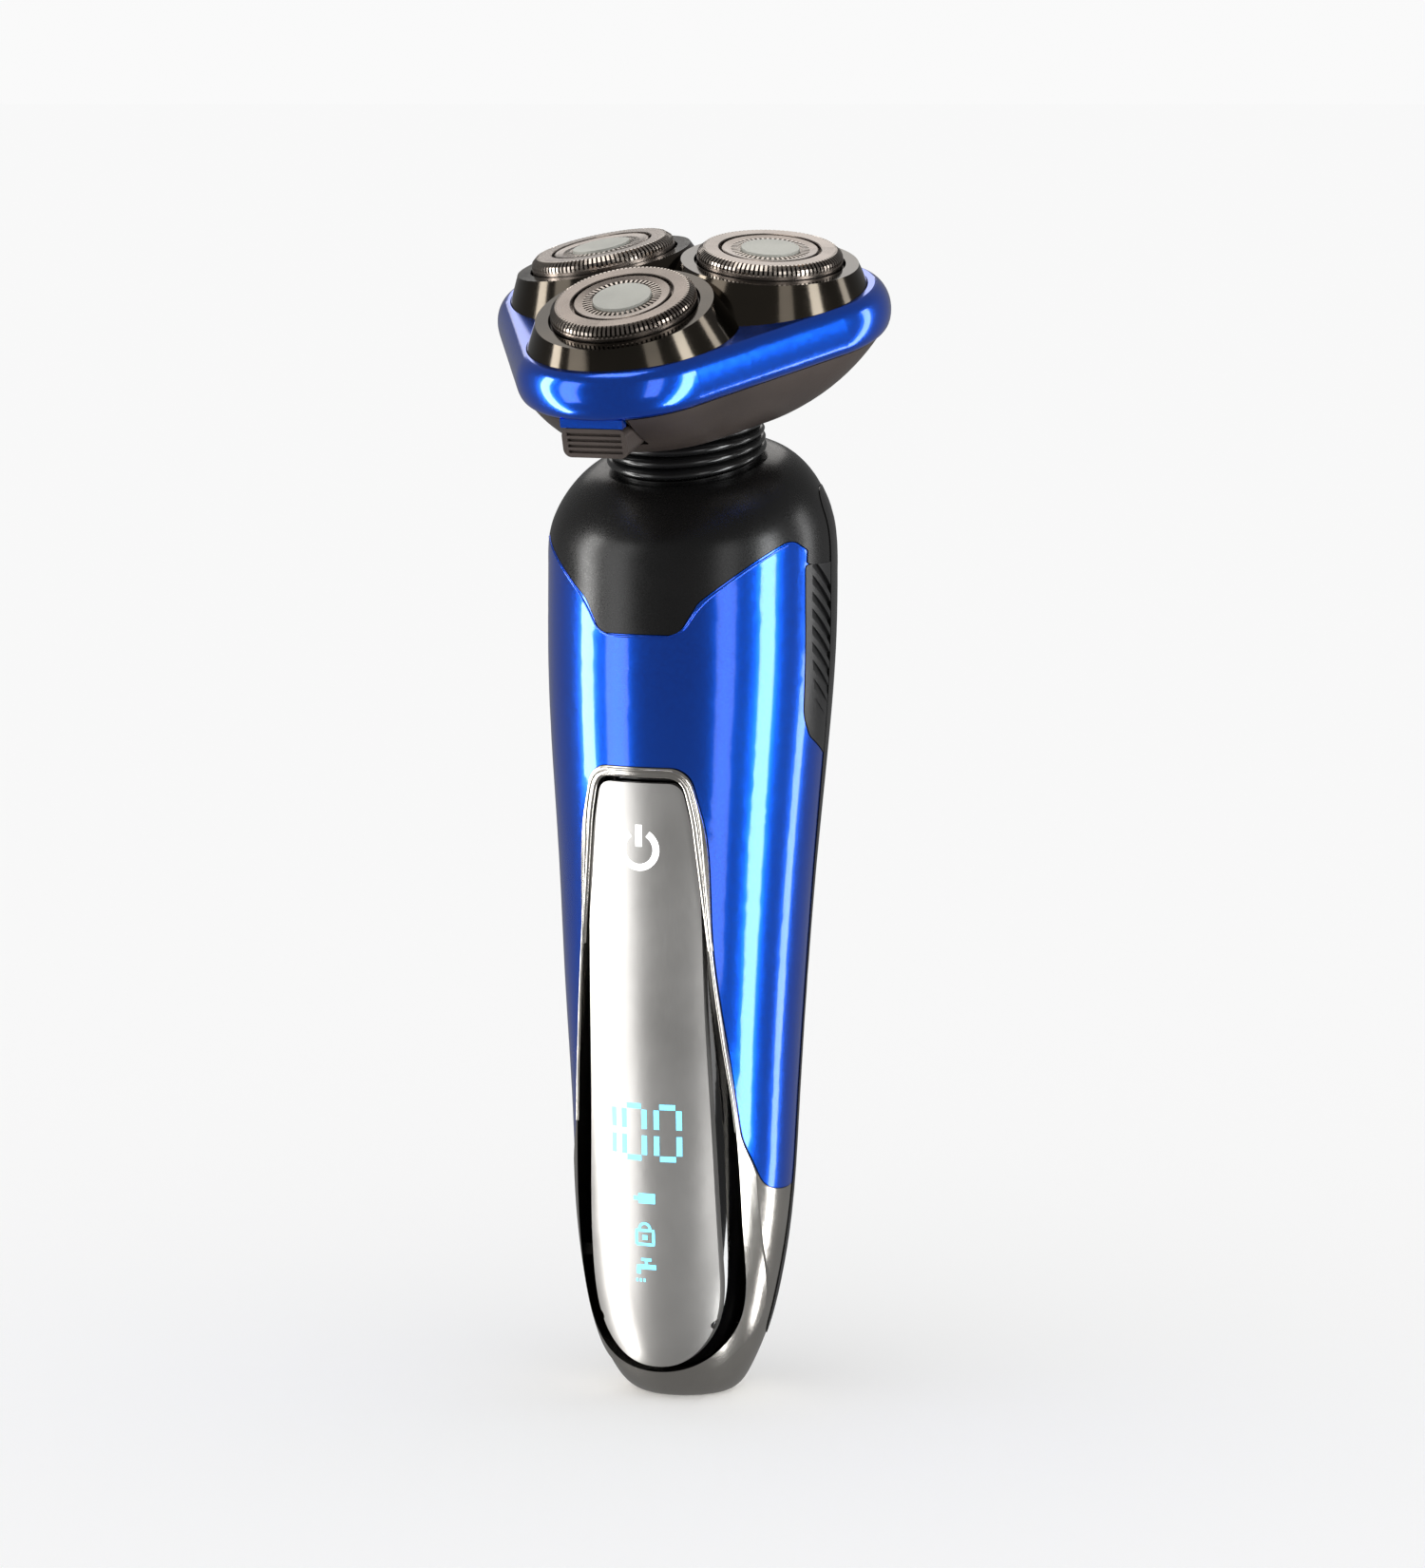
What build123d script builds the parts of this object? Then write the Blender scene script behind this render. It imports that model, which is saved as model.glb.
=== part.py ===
from build123d import *
import os
from math import cos, pi, radians, sin, tan

os.makedirs("parts", exist_ok=True)

# A cordless rotary shaver with three floating heads on a tilting neck. Millimetres, +Z up the
# handle, the front (power button and display) towards -Y. The origin is the centre of the base.

# ---- Handle: overall sizes -------------------------------------------------------------------
handle_height = 122.0  # base to where the shoulder starts to close in
handle_width = 42.8
handle_depth = 39.6
base_width = 11.0
base_curve = 9.0  # height over which the bottom rounds in
wall = 1.8
seam_gap = 0.12  # between shells that meet edge to edge

# Share of the handle's height, share of its width, and the centre line's shift towards the back.
handle_profile = [
    (0.008, 0.395, -0.10),
    (0.032, 0.490, -0.55),
    (0.080, 0.605, -0.70),
    (0.135, 0.680, -0.40),
    (0.215, 0.745, 0.00),
    (0.345, 0.790, 0.40),
    (0.490, 0.838, 0.45),
    (0.655, 0.898, 1.20),
    (0.820, 0.972, 2.10),
    (0.920, 0.998, 2.75),
    (1.000, 1.000, 3.00),
]

# ---- Neck and shoulder -----------------------------------------------------------------------
neck_tilt = 16.0  # forward, degrees
neck_rise = 15.9  # neck plane's centre above handle_height
neck_shift = 1.3
neck_radius = 12.2
# Share of the rise, tilt share, half width, half depth and shift of each shoulder section.
shoulder_profile = [
    (0.40, 0.45, 21.0, 19.4, 2.8, 0.15),
    (0.73, 0.88, 18.6, 17.5, 2.2, 0.45),
    (0.93, 1.00, 15.2, 14.5, 1.7, 0.80),
]

# ---- Front details ---------------------------------------------------------------------------
arch_top, trim_width = 94.6, 1.2
panel_top, panel_bottom = 92.3, 5.1
panel_inset, panel_thickness = 0.35, 1.3
recess_inset, recess_thickness = 2.75, 0.9
trim_proud, trim_depth = 0.25, 2.6
panel_pivot_height = 12.0
button_height = 83.0
pin_radius = 0.75
running = 0.05  # radial clearance of turning fits

# ---- Inside the handle -----------------------------------------------------------------------
battery_radius, battery_length, battery_floor, battery_y = 7.1, 49.0, 24.0, 1.6
board_front, board_thickness, board_width = -7.7, 1.0, 15.0
board_bottom, board_top = 21.0, 91.0
motor_radius, motor_length, motor_drop, can_wall = 8.5, 22.0, 7.0, 0.7
rotor_radius, rotor_length, shaft_radius = 6.2, 14.0, 1.0
inlet_radius, inlet_length, inlet_wall = 1.8, 8.0, 1.2

# ---- Neck joint ------------------------------------------------------------------------------
gimbal_height = 3.2
gimbal_inner, gimbal_outer, gimbal_thick = 5.4, 7.0, 2.4
ear_inner, ear_outer, ear_width = 7.4, 8.8, 3.2
gimbal_pin = 0.8
bellows_inner, bellows_outer, bellows_folds = 9.7, 11.7, 4
bellows_floor, bellows_top = 0.45, 6.15

# ---- Head ------------------------------------------------------------------------------------
head_pitch_radius = 15.5  # cap centres from the head's axis
cap_lean = 8.0  # each cap leans outwards, degrees
cap_height = 30.0
cap_radius = 10.5
ring_radius = 16.4
ring_bottom, ring_top = 16.5, 23.4
bezel_top_radius, bezel_foot_radius = 12.9, 15.1
bezel_top, bezel_foot = -2.0, -6.6
head_wall = 1.4
chamber_foot, chamber_foot_lean, chamber_foot_radius = 6.3, 8.0, 10.4
lobes = {"front": -90.0, "right": 30.0, "left": 150.0}

# ---- Gear train ------------------------------------------------------------------------------
gear_module, centre_teeth, lobe_teeth = 0.5, 24, 36
gear_floor, gear_thick = 12.4, 1.8
gear_backlash = 0.22
gear_reach = gear_module * (centre_teeth + lobe_teeth) / 2
post_radius = 1.0
hub_inner, hub_outer, hub_top = 2.4, 3.2, 17.4
driver_top, driver_collar = 25.4, 21.0
cover_floor, cover_thick = 14.8, 1.0
plate_floor, plate_thick = 10.9, 1.0
retainer_floor, retainer_thick = 20.7, 1.0

# ---- Cover hinge and latch -------------------------------------------------------------------
hinge_back, hinge_height = 25.6, 17.4
hinge_radius, hinge_pin_radius, hinge_gap = 1.5, 0.7, 0.15
button_width, button_top, button_bottom = 10.0, 15.2, 10.9


def tilted(height, shift, tilt):
    """A plane across the handle that leans forward by tilt degrees."""
    lean = radians(tilt)
    return Plane(origin=(0, shift, height), x_dir=(1, 0, 0), z_dir=(0, -sin(lean), cos(lean)))


neck = tilted(handle_height + neck_rise, neck_shift, neck_tilt)


def in_neck(x, y, z):
    return neck.from_local_coords(Vector(x, y, z))


def cap_plane(angle, drop=0.0):
    """The plane of one cap: its z runs out along the cap's axis, its x points away from the middle."""
    turn, lean = radians(angle), radians(cap_lean)
    outward = Vector(cos(turn), sin(turn), 0)
    axis = outward * sin(lean) + Vector(0, 0, cos(lean))
    across = outward * cos(lean) - Vector(0, 0, sin(lean))
    centre = outward * head_pitch_radius + Vector(0, 0, cap_height) + axis * drop
    origin = neck.from_local_coords(centre)
    return Plane(
        origin=origin,
        x_dir=neck.from_local_coords(centre + across) - origin,
        z_dir=neck.from_local_coords(centre + axis) - origin,
    )


def gear_plane(angle, height):
    """A plane on one driven gear's axis, square to the head's axis."""
    turn = radians(angle)
    centre = Vector(cos(turn) * gear_reach, sin(turn) * gear_reach, height)
    return Plane(origin=neck.from_local_coords(centre), x_dir=neck.x_dir, z_dir=neck.z_dir)


made_forms = {}


def handle_form(inset):
    """The handle's outer form from base to neck, moved in by inset all round."""
    if inset in made_forms:
        return made_forms[inset]
    with BuildPart() as form:
        with BuildSketch(Plane.XY.offset(inset)):
            Ellipse(base_width / 2 - inset / 2, base_width / 2 - inset / 2, rotation=90)
        for height_share, width_share, shift in handle_profile:
            height = height_share * handle_height
            height += inset * max(0.0, 1 - height / base_curve)
            with BuildSketch(Plane.XY.offset(height)):
                with Locations((0, shift)):
                    Ellipse(
                        width_share * handle_depth / 2 - inset,
                        width_share * handle_width / 2 - inset,
                        rotation=90,
                    )
        for rise, tilt_share, half_width, half_depth, shift, top_share in shoulder_profile:
            plane = tilted(handle_height + rise * neck_rise, shift, tilt_share * neck_tilt)
            narrower = inset * (1 - top_share)
            with BuildSketch(plane.offset(-inset * top_share)):
                Ellipse(half_depth - narrower, half_width - narrower, rotation=90)
        with BuildSketch(neck.offset(-inset)):
            Ellipse(neck_radius, neck_radius, rotation=90)
        loft()
    made_forms[inset] = form.part
    return form.part


outer_form = handle_form(0)
inner_form = handle_form(wall)
ear_line = handle_height + 1.4  # where the shoulder's ears meet the grips


def side_outline():
    """Side view (Y across, Z up) of what the back cover takes."""
    cover_line = handle_height + 12.0
    with BuildSketch(Plane.YZ) as view:
        with BuildLine():
            FilletPolyline(
                (4.3, cover_line), (4.3, 70.0), (3.1, 34.0), (0.9, 16.0), (0.6, 8.6), (40.0, 8.6),
                (40.0, cover_line),
                radius=[3.5, 60.0, 60.0, 30.0, 2.5, 0.0, 0.0],
                close=True,
            )
        make_face()
    return view.sketch


def grip_outline():
    """Side view of the ribbed grip beside the back cover's seam."""
    foot = handle_height - 27.0
    with BuildSketch(Plane.YZ) as view:
        with BuildLine():
            FilletPolyline(
                (-2.9, ear_line), (-2.9, foot + 6.5), (-1.2, foot + 3.4), (5.0, foot), (5.0, ear_line),
                radius=[0.6, 5.0, 3.0, 0.4, 0.4],
                close=True,
            )
        make_face()
    return view.sketch


def shoulder_outline():
    """Front view of what the shoulder takes: a pointed apron between two raised ears."""
    tip, peak, far = handle_height - 8.1, handle_height + 5.4, handle_height + 48.0
    with BuildSketch(Plane.XZ) as view:
        with BuildLine():
            FilletPolyline(
                (0, tip), (6.1, tip), (8.8, tip + 4.7), (19.3, peak), (20.6, peak - 1.8), (20.6, ear_line),
                (40, ear_line),
                radius=[2.2, 3.5, 0.9, 1.0, 0.5],
            )
            Polyline((40, ear_line), (40, far), (0, far))
            mirror(about=Plane.YZ)
        make_face()
    return view.sketch


def arch_outline(grow=0.0):
    """Front view of the trim's outer edge, which flares into the skirt at the foot."""
    top = arch_top + grow
    with BuildSketch(Plane.XZ) as view:
        with BuildLine():
            crown = FilletPolyline((0, top), (7.6 + grow, top), (9.3 + grow, 87.5), radius=3.4)
            sides = [(10.3 + grow, 71.0), (12.1 + grow, 52.0), (13.1 + grow, 41.0)]
            flank = Spline(crown @ 1, *sides, tangents=[crown % 1, (0.1, -1)])
            foot = [(14.4 + grow, 35.6 + grow / 2), (17.2, 31.0 + grow)]
            flare = Spline(flank @ 1, *foot, tangents=[flank % 1, (1, -0.25)])
            Polyline(flare @ 1, (40, 30.6 + grow), (40, -5), (0, -5))
            mirror(about=Plane.YZ)
        make_face()
    return view.sketch


def recess_outline(grow=0.0):
    """Front view of the dark recess round the panel."""
    top = arch_top - trim_width + grow
    with BuildSketch(Plane.XZ) as view:
        with BuildLine():
            crown = FilletPolyline((0, top), (6.8 + grow, top), (8.2 + grow, 87.0), radius=2.8)
            sides = [(10.1 + grow, 68.0), (12.6 + grow, 43.0), (13.2 + grow, 22.0)]
            flank = Spline(crown @ 1, *sides, tangents=[crown % 1, (0, -1)])
            foot = [(9.9 + 0.7 * grow, 8.6 - 0.7 * grow), (0, 4.4 - grow)]
            Spline(flank @ 1, *foot, tangents=[flank % 1, (-1, 0)])
            mirror(about=Plane.YZ)
        make_face()
    return view.sketch


def panel_outline():
    """Front view of the long silver panel that carries the power button and the display."""
    with BuildSketch(Plane.XZ) as view:
        with BuildLine():
            crown = FilletPolyline((0, panel_top), (6.4, panel_top), (7.5, 87.0), radius=2.2)
            flank = Spline(crown @ 1, (9.0, 64.0), (9.7, 38.0), (10.1, 20.0), tangents=[crown % 1, (0, -1)])
            Spline(flank @ 1, (7.0, 8.4), (0, panel_bottom), tangents=[flank % 1, (-1, 0)])
            mirror(about=Plane.YZ)
        make_face()
    return view.sketch


def grown(outline, amount):
    """The same outline, moved outwards by amount."""
    return offset(outline, amount=amount, kind=Kind.ARC)


reach = 60.0  # longer than any half of the handle


def front_prism(outline, both=False):
    return extrude(outline, amount=reach, both=both)


def side_prism(outline):
    return extrude(outline, amount=reach, both=True)


shell = outer_form - inner_form
apron, arch, recess, panel = shoulder_outline(), arch_outline(), recess_outline(), panel_outline()
back_side, grip_side = side_outline(), grip_outline()
apron_prism, apron_room = front_prism(apron, both=True), front_prism(grown(apron, seam_gap), both=True)
arch_prism, arch_room = front_prism(arch, both=True), front_prism(arch_outline(seam_gap), both=True)
back_prism, back_room = side_prism(back_side), side_prism(grown(back_side, seam_gap))
grip_prism, grip_room = side_prism(grip_side), side_prism(grown(grip_side, seam_gap))
recess_prism, recess_wide = front_prism(recess), front_prism(recess_outline(1.6))
panel_prism = front_prism(panel)


# ---- Shells ----------------------------------------------------------------------------------
front_half_shell = shell - back_room
with BuildPart() as front_shell:
    add(front_half_shell)
    add(arch_room, mode=Mode.SUBTRACT)
    add(apron_room, mode=Mode.SUBTRACT)
    add(grip_room, mode=Mode.SUBTRACT)

front_shell.part.label = "front_shell"
export_step(front_shell.part, "parts/front_shell.step")

with BuildPart() as shoulder_shell:
    add(front_half_shell)
    add(apron_prism, mode=Mode.INTERSECT)
    with BuildSketch(neck.offset(-8)):
        Circle(neck_radius - head_wall)
    extrude(amount=12, mode=Mode.SUBTRACT)

shoulder_shell.part.label = "shoulder_shell"
export_step(shoulder_shell.part, "parts/shoulder_shell.step")

back_form = handle_form(-0.15)
with BuildPart() as back_cover:
    add(back_form)
    add(inner_form, mode=Mode.SUBTRACT)
    add(back_prism, mode=Mode.INTERSECT)

back_cover.part.label = "back_cover"
export_step(back_cover.part, "parts/back_cover.step")

# ---- Side grips: a strip each side with slanting ribs ------------------------------------------
grip_ribs = 11
grip_pitch = 2.45
grip_slant = 38.0
rib_gap, rib_depth = 1.1, 0.45
grip_form = handle_form(-0.1) - inner_form - back_room
for name, side in (("left", -1), ("right", 1)):
    with BuildPart() as side_grip:
        add(grip_form)
        add(grip_prism, mode=Mode.INTERSECT)
        with BuildSketch(Plane.YZ):
            Rectangle(200, 400)
        extrude(amount=-side * reach, mode=Mode.SUBTRACT)
        with BuildSketch(Plane.YZ.offset(side * (handle_width / 2 - rib_depth))):
            for rib in range(grip_ribs):
                with Locations((0.7, 97.5 + rib * grip_pitch)):
                    Rectangle(14, rib_gap, rotation=-grip_slant)
        extrude(amount=side * 5, mode=Mode.SUBTRACT)

    side_grip.part.label = f"side_grip_{name}"
    export_step(side_grip.part, f"parts/side_grip_{name}.step")

# ---- Trim and skirt, one silver moulding -------------------------------------------------------
trim_band = (handle_form(-trim_proud) - handle_form(trim_depth)) & arch_prism & recess_wide
with BuildPart() as trim_frame:
    add(front_half_shell)
    add(arch_prism, mode=Mode.INTERSECT)
    add(trim_band)
    add(recess_prism, mode=Mode.SUBTRACT)
    with BuildSketch(Plane.XY.offset(-1)):
        Circle(inlet_radius + inlet_wall + running)
    extrude(amount=wall + 3, mode=Mode.SUBTRACT)
    with BuildSketch(Plane.XY.offset(-5)):
        Rectangle(60, 60)
    extrude(amount=5, mode=Mode.SUBTRACT)

trim_frame.part.label = "trim_frame"
export_step(trim_frame.part, "parts/trim_frame.step")

# ---- Recess insert: the dark floor behind the panel ---------------------------------------------
lug_width, lug_height = 5.0, 3.2
lug_gap = 0.4
ear_thick = 1.4
pivot_y = 3.374 - 0.63 * handle_depth / 2
recess_floor = handle_form(recess_inset) - handle_form(recess_inset + recess_thickness)
recess_backed = front_prism(recess_outline(0.9))
with BuildPart() as recess_insert:
    add(recess_floor)
    add(recess_backed, mode=Mode.INTERSECT)
    with BuildSketch(Plane.XZ):
        with Locations((0, panel_pivot_height)):
            Rectangle(lug_width + 2 * lug_gap, lug_height + 1.2)
        with Locations((0, button_height)):
            Circle(1.3)
    extrude(amount=reach, mode=Mode.SUBTRACT)
    with BuildSketch(Plane.XZ.offset(4.0)):
        Rectangle(100, 400)
    extrude(amount=-reach, mode=Mode.SUBTRACT)
    for side in (-1, 1):
        with BuildSketch(Plane.YZ.offset(side * (lug_width / 2 + lug_gap))):
            with Locations((pivot_y, panel_pivot_height)):
                Circle(1.6)
            with Locations((pivot_y - 0.7, panel_pivot_height)):
                Rectangle(1.4, 3.2)
        extrude(amount=side * ear_thick)
    with BuildSketch(Plane.YZ):
        with Locations((pivot_y, panel_pivot_height)):
            Circle(pin_radius)
    extrude(amount=20, both=True, mode=Mode.SUBTRACT)

recess_insert.part.label = "recess_insert"
export_step(recess_insert.part, "parts/recess_insert.step")

panel_skin = handle_form(panel_inset) - handle_form(panel_inset + panel_thickness)
with BuildPart() as front_panel:
    add(panel_skin)
    add(panel_prism, mode=Mode.INTERSECT)
    with BuildSketch(Plane.YZ.offset(-lug_width / 2)):
        with Locations((pivot_y, panel_pivot_height)):
            Circle(lug_height / 2)
        with Locations((pivot_y - 1.3, panel_pivot_height)):
            Rectangle(2.6, lug_height)
    extrude(amount=lug_width)
    with BuildSketch(Plane.YZ):
        with Locations((pivot_y, panel_pivot_height)):
            Circle(pin_radius + running)
    extrude(amount=20, both=True, mode=Mode.SUBTRACT)

front_panel.part.label = "front_panel"
export_step(front_panel.part, "parts/front_panel.step")

with BuildPart() as panel_pivot_pin:
    with BuildSketch(Plane.YZ.offset(-lug_width / 2 - lug_gap - ear_thick)):
        with Locations((pivot_y, panel_pivot_height)):
            Circle(pin_radius)
    extrude(amount=lug_width + 2 * lug_gap + 2 * ear_thick)

panel_pivot_pin.part.label = "panel_pivot_pin"
export_step(panel_pivot_pin.part, "parts/panel_pivot_pin.step")

# ---- Battery, board, motor and chassis -----------------------------------------------------------
with BuildPart() as battery_cell:
    with BuildSketch(Plane.XY.offset(battery_floor)):
        with Locations((0, battery_y)):
            Circle(battery_radius)
    extrude(amount=battery_length)
    fillet(battery_cell.edges().filter_by(GeomType.CIRCLE), 0.6)
    with BuildSketch(Plane.XY.offset(battery_floor + battery_length)):
        with Locations((0, battery_y)):
            Circle(2.6)
    extrude(amount=1.0)

battery_cell.part.label = "battery_cell"
export_step(battery_cell.part, "parts/battery_cell.step")

tab_width, tab_thickness = 5.0, 0.3
with BuildPart() as battery_tabs:
    for height in (battery_floor - tab_thickness, battery_floor + battery_length + 1.0):
        with BuildSketch(Plane.XY.offset(height)):
            with Locations((0, (board_front + board_thickness + battery_y) / 2)):
                Rectangle(tab_width, battery_y - board_front - board_thickness)
        extrude(amount=tab_thickness)

battery_tabs.part.label = "battery_tabs"
export_step(battery_tabs.part, "parts/battery_tabs.step")

with BuildPart() as main_board:
    with BuildSketch(Plane.XZ.offset(-board_front - board_thickness)):
        with Locations((0, (board_bottom + board_top) / 2)):
            RectangleRounded(board_width, board_top - board_bottom, 1.5)
    extrude(amount=board_thickness)

main_board.part.label = "main_board"
export_step(main_board.part, "parts/main_board.step")

display_width, display_height, display_centre, display_depth = 12.5, 30.0, 34.0, 1.1
with BuildPart() as display_module:
    with BuildSketch(Plane.XZ.offset(-board_front)):
        with Locations((0, display_centre)):
            RectangleRounded(display_width, display_height, 0.8)
    extrude(amount=display_depth)

display_module.part.label = "display_module"
export_step(display_module.part, "parts/display_module.step")

switch_size, switch_depth, press_travel = 6.0, 3.2, 0.5
with BuildPart() as power_switch:
    with BuildSketch(Plane.XZ.offset(-board_front)):
        with Locations((0, button_height)):
            Rectangle(switch_size, switch_size)
    extrude(amount=switch_depth)

power_switch.part.label = "power_switch"
export_step(power_switch.part, "parts/power_switch.step")

plunger_radius, plunger_gap = 1.1, 0.1
plunger_back = board_front - switch_depth - press_travel - plunger_gap
panel_back = 3.168 - 0.91 * handle_depth / 2  # just behind the panel's inner face at the button
with BuildPart() as switch_plunger:
    with BuildSketch(Plane.XZ.offset(-plunger_back)):
        with Locations((0, button_height)):
            Circle(plunger_radius)
    extrude(amount=plunger_back - panel_back)

switch_plunger.part.label = "switch_plunger"
export_step(switch_plunger.part, "parts/switch_plunger.step")

chassis_gap = 0.3
spine_front = board_front + board_thickness + 0.1
spine_thickness = 0.8
chassis_room = handle_form(wall + chassis_gap)
motor_foot = neck.offset(-motor_drop - motor_length)
cradle_wall = 1.2
with BuildPart() as inner_chassis:
    with BuildSketch(Plane.XZ.offset(-spine_front - spine_thickness)):
        with Locations((0, (board_bottom + 108.0) / 2)):
            Rectangle(2 * battery_radius + 4, 108.0 - board_bottom)
    extrude(amount=spine_thickness)
    for height in (battery_floor + 4, battery_floor + battery_length - 10):
        with BuildSketch(Plane.XY.offset(height)):
            with Locations((0, battery_y)):
                Circle(battery_radius + cradle_wall + running)
        extrude(amount=6.0)
    with BuildSketch(Plane.XY.offset(board_bottom - 1.6)):
        with Locations((0, 17.0)):
            Rectangle(60, 40)
        with Locations((0, -3.0)):
            Rectangle(board_width, 8)
    extrude(amount=1.6)
    with BuildSketch(motor_foot.offset(-cradle_wall)):
        Circle(motor_radius + running + cradle_wall)
    extrude(amount=motor_length * 0.7)
    with BuildSketch(Plane.XY.offset(84.0)):
        with Locations((0, 4.0)):
            Rectangle(8.0, 22.0)
    extrude(amount=28.0)
    add(chassis_room, mode=Mode.INTERSECT)
    with BuildSketch(motor_foot):
        Circle(motor_radius + running)
    extrude(amount=motor_length + 10, mode=Mode.SUBTRACT)
    with BuildSketch(motor_foot.offset(-4)):
        Circle(3.0)
    extrude(amount=8, mode=Mode.SUBTRACT)
    with BuildSketch(Plane.XY.offset(battery_floor - 1)):
        with Locations((0, battery_y)):
            Circle(battery_radius + running)
    extrude(amount=battery_length + 4, mode=Mode.SUBTRACT)
    for height in (battery_floor - tab_thickness, battery_floor + battery_length + 1.0):
        with BuildSketch(Plane.XY.offset(height - 0.2)):
            Rectangle(tab_width + 0.6, 40)
        extrude(amount=tab_thickness + 0.4, mode=Mode.SUBTRACT)
    with BuildSketch(Plane.XZ.offset(-spine_front)):
        Rectangle(80, 400)
    extrude(amount=60, mode=Mode.SUBTRACT)

inner_chassis.part.label = "inner_chassis"
export_step(inner_chassis.part, "parts/inner_chassis.step")

with BuildPart() as motor_can:
    with BuildSketch(motor_foot):
        Circle(motor_radius)
    extrude(amount=motor_length)
    with BuildSketch(motor_foot.offset(can_wall)):
        Circle(motor_radius - can_wall)
    extrude(amount=motor_length - 2 * can_wall, mode=Mode.SUBTRACT)
    with BuildSketch(motor_foot.offset(-1)):
        Circle(shaft_radius + running)
    extrude(amount=motor_length + 2, mode=Mode.SUBTRACT)

motor_can.part.label = "motor_can"
export_step(motor_can.part, "parts/motor_can.step")

# The shaft ends in a ball on the neck joint's centre, so the head can tilt while it turns.
ball_half_height, ball_flats = 0.9, 1.55
with BuildPart() as motor_rotor:
    with BuildSketch(motor_foot.offset(can_wall + 2.5)):
        Circle(rotor_radius)
    extrude(amount=rotor_length)
    with BuildSketch(motor_foot.offset(-0.8)):
        Circle(shaft_radius)
    extrude(amount=motor_length + motor_drop + gimbal_height + 0.8 - ball_half_height / 2)
    with BuildSketch(neck.offset(gimbal_height - ball_half_height)):
        RegularPolygon(ball_flats, 6, major_radius=False)
    extrude(amount=2 * ball_half_height)

motor_rotor.part.label = "motor_rotor"
export_step(motor_rotor.part, "parts/motor_rotor.step")

with BuildPart() as charging_socket:
    with BuildSketch(Plane.XY):
        Circle(inlet_radius + inlet_wall)
    extrude(amount=inlet_length + inlet_wall)
    with BuildSketch(Plane.XY.offset(wall + 0.5)):
        Circle(inlet_radius + inlet_wall + 1.2)
    extrude(amount=1.2)
    with BuildSketch(Plane.XY):
        Circle(inlet_radius)
    extrude(amount=inlet_length, mode=Mode.SUBTRACT)

charging_socket.part.label = "charging_socket"
export_step(charging_socket.part, "parts/charging_socket.step")

with BuildPart() as charging_contacts:
    for side in (-1, 1):
        with BuildSketch(Plane.XY.offset(inlet_length - 2.0)):
            with Locations((side * (inlet_radius + inlet_wall + 0.35), 0)):
                Rectangle(0.5, 1.6)
        extrude(amount=board_bottom - inlet_length)

charging_contacts.part.label = "charging_contacts"
export_step(charging_contacts.part, "parts/charging_contacts.step")

# ---- Neck: collar, gimbal and bellows --------------------------------------------------------------
collar_rim = 0.3
with BuildPart() as neck_collar:
    with BuildSketch(neck.offset(-3.6)):
        Circle(neck_radius - head_wall - running)
        Circle(bellows_inner - 0.4, mode=Mode.SUBTRACT)
    extrude(amount=3.6 + collar_rim)
    with BuildSketch(neck.offset(-3.6)):
        Circle(bellows_inner)
        Circle(motor_radius * 0.55, mode=Mode.SUBTRACT)
    extrude(amount=1.2)
    for side in (-1, 1):
        with BuildSketch(neck.offset(-3.0)):
            with Locations((side * (ear_inner + ear_outer) / 2, 0)):
                Rectangle(ear_outer - ear_inner, ear_width)
        extrude(amount=3.0 + gimbal_height + 1.3)
    ear_line = Plane(origin=in_neck(0, 0, gimbal_height), x_dir=neck.y_dir, z_dir=neck.x_dir)
    with BuildSketch(ear_line):
        Circle(gimbal_pin + running)
    extrude(amount=ear_outer + 0.5, both=True, mode=Mode.SUBTRACT)

neck_collar.part.label = "neck_collar"
export_step(neck_collar.part, "parts/neck_collar.step")

cross_line = Plane(origin=in_neck(0, 0, gimbal_height), x_dir=neck.x_dir, z_dir=neck.y_dir)
with BuildPart() as gimbal_ring:
    for line in (ear_line, cross_line):
        with BuildSketch(line):
            Circle(gimbal_pin)
        extrude(amount=ear_outer, both=True)
    with BuildSketch(neck.offset(gimbal_height - gimbal_thick / 2)):
        Circle(gimbal_outer)
    extrude(amount=gimbal_thick)
    with BuildSketch(neck.offset(gimbal_height - gimbal_thick)):
        Circle(gimbal_inner)
    extrude(amount=2 * gimbal_thick, mode=Mode.SUBTRACT)

gimbal_ring.part.label = "gimbal_ring"
export_step(gimbal_ring.part, "parts/gimbal_ring.step")

bellows_wall = 0.6


def leaning(height, lean_degrees):
    """A plane across the neck's axis that leans back by some degrees."""
    lean = radians(lean_degrees)
    origin = in_neck(0, 0, height)
    return Plane(origin=origin, x_dir=neck.x_dir, z_dir=in_neck(0, sin(lean), height + cos(lean)) - origin)


with BuildPart() as neck_bellows:
    for inset, mode in ((0.0, Mode.ADD), (bellows_wall, Mode.SUBTRACT)):
        for ridge in range(2 * bellows_folds + 1):
            share = ridge / (2 * bellows_folds)
            height = bellows_floor + share * (bellows_top - bellows_floor)
            with BuildSketch(leaning(height, share * chamber_foot_lean)):
                Circle((bellows_outer if ridge % 2 else bellows_inner + bellows_wall) - inset)
        loft(ruled=True, mode=mode)

neck_bellows.part.label = "neck_bellows"
export_step(neck_bellows.part, "parts/neck_bellows.step")

# ---- Head: hair chamber ----------------------------------------------------------------------------
# Height, distance of the rounded corners' centres from the head's axis, and their radius.
chamber_profile = [(7.6, 6.3, 12.0), (10.2, 10.7, 12.9), (13.2, 13.4, 14.0), (16.4, 15.5, 14.9)]


def rounded_triangle(plane, spread, radius):
    """A triangle with one corner at the front, its corners rounded by radius."""
    with BuildSketch(plane) as outline:
        RegularPolygon(spread, 3, rotation=-90)
        offset(amount=radius, kind=Kind.ARC)
    return outline.sketch


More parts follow.
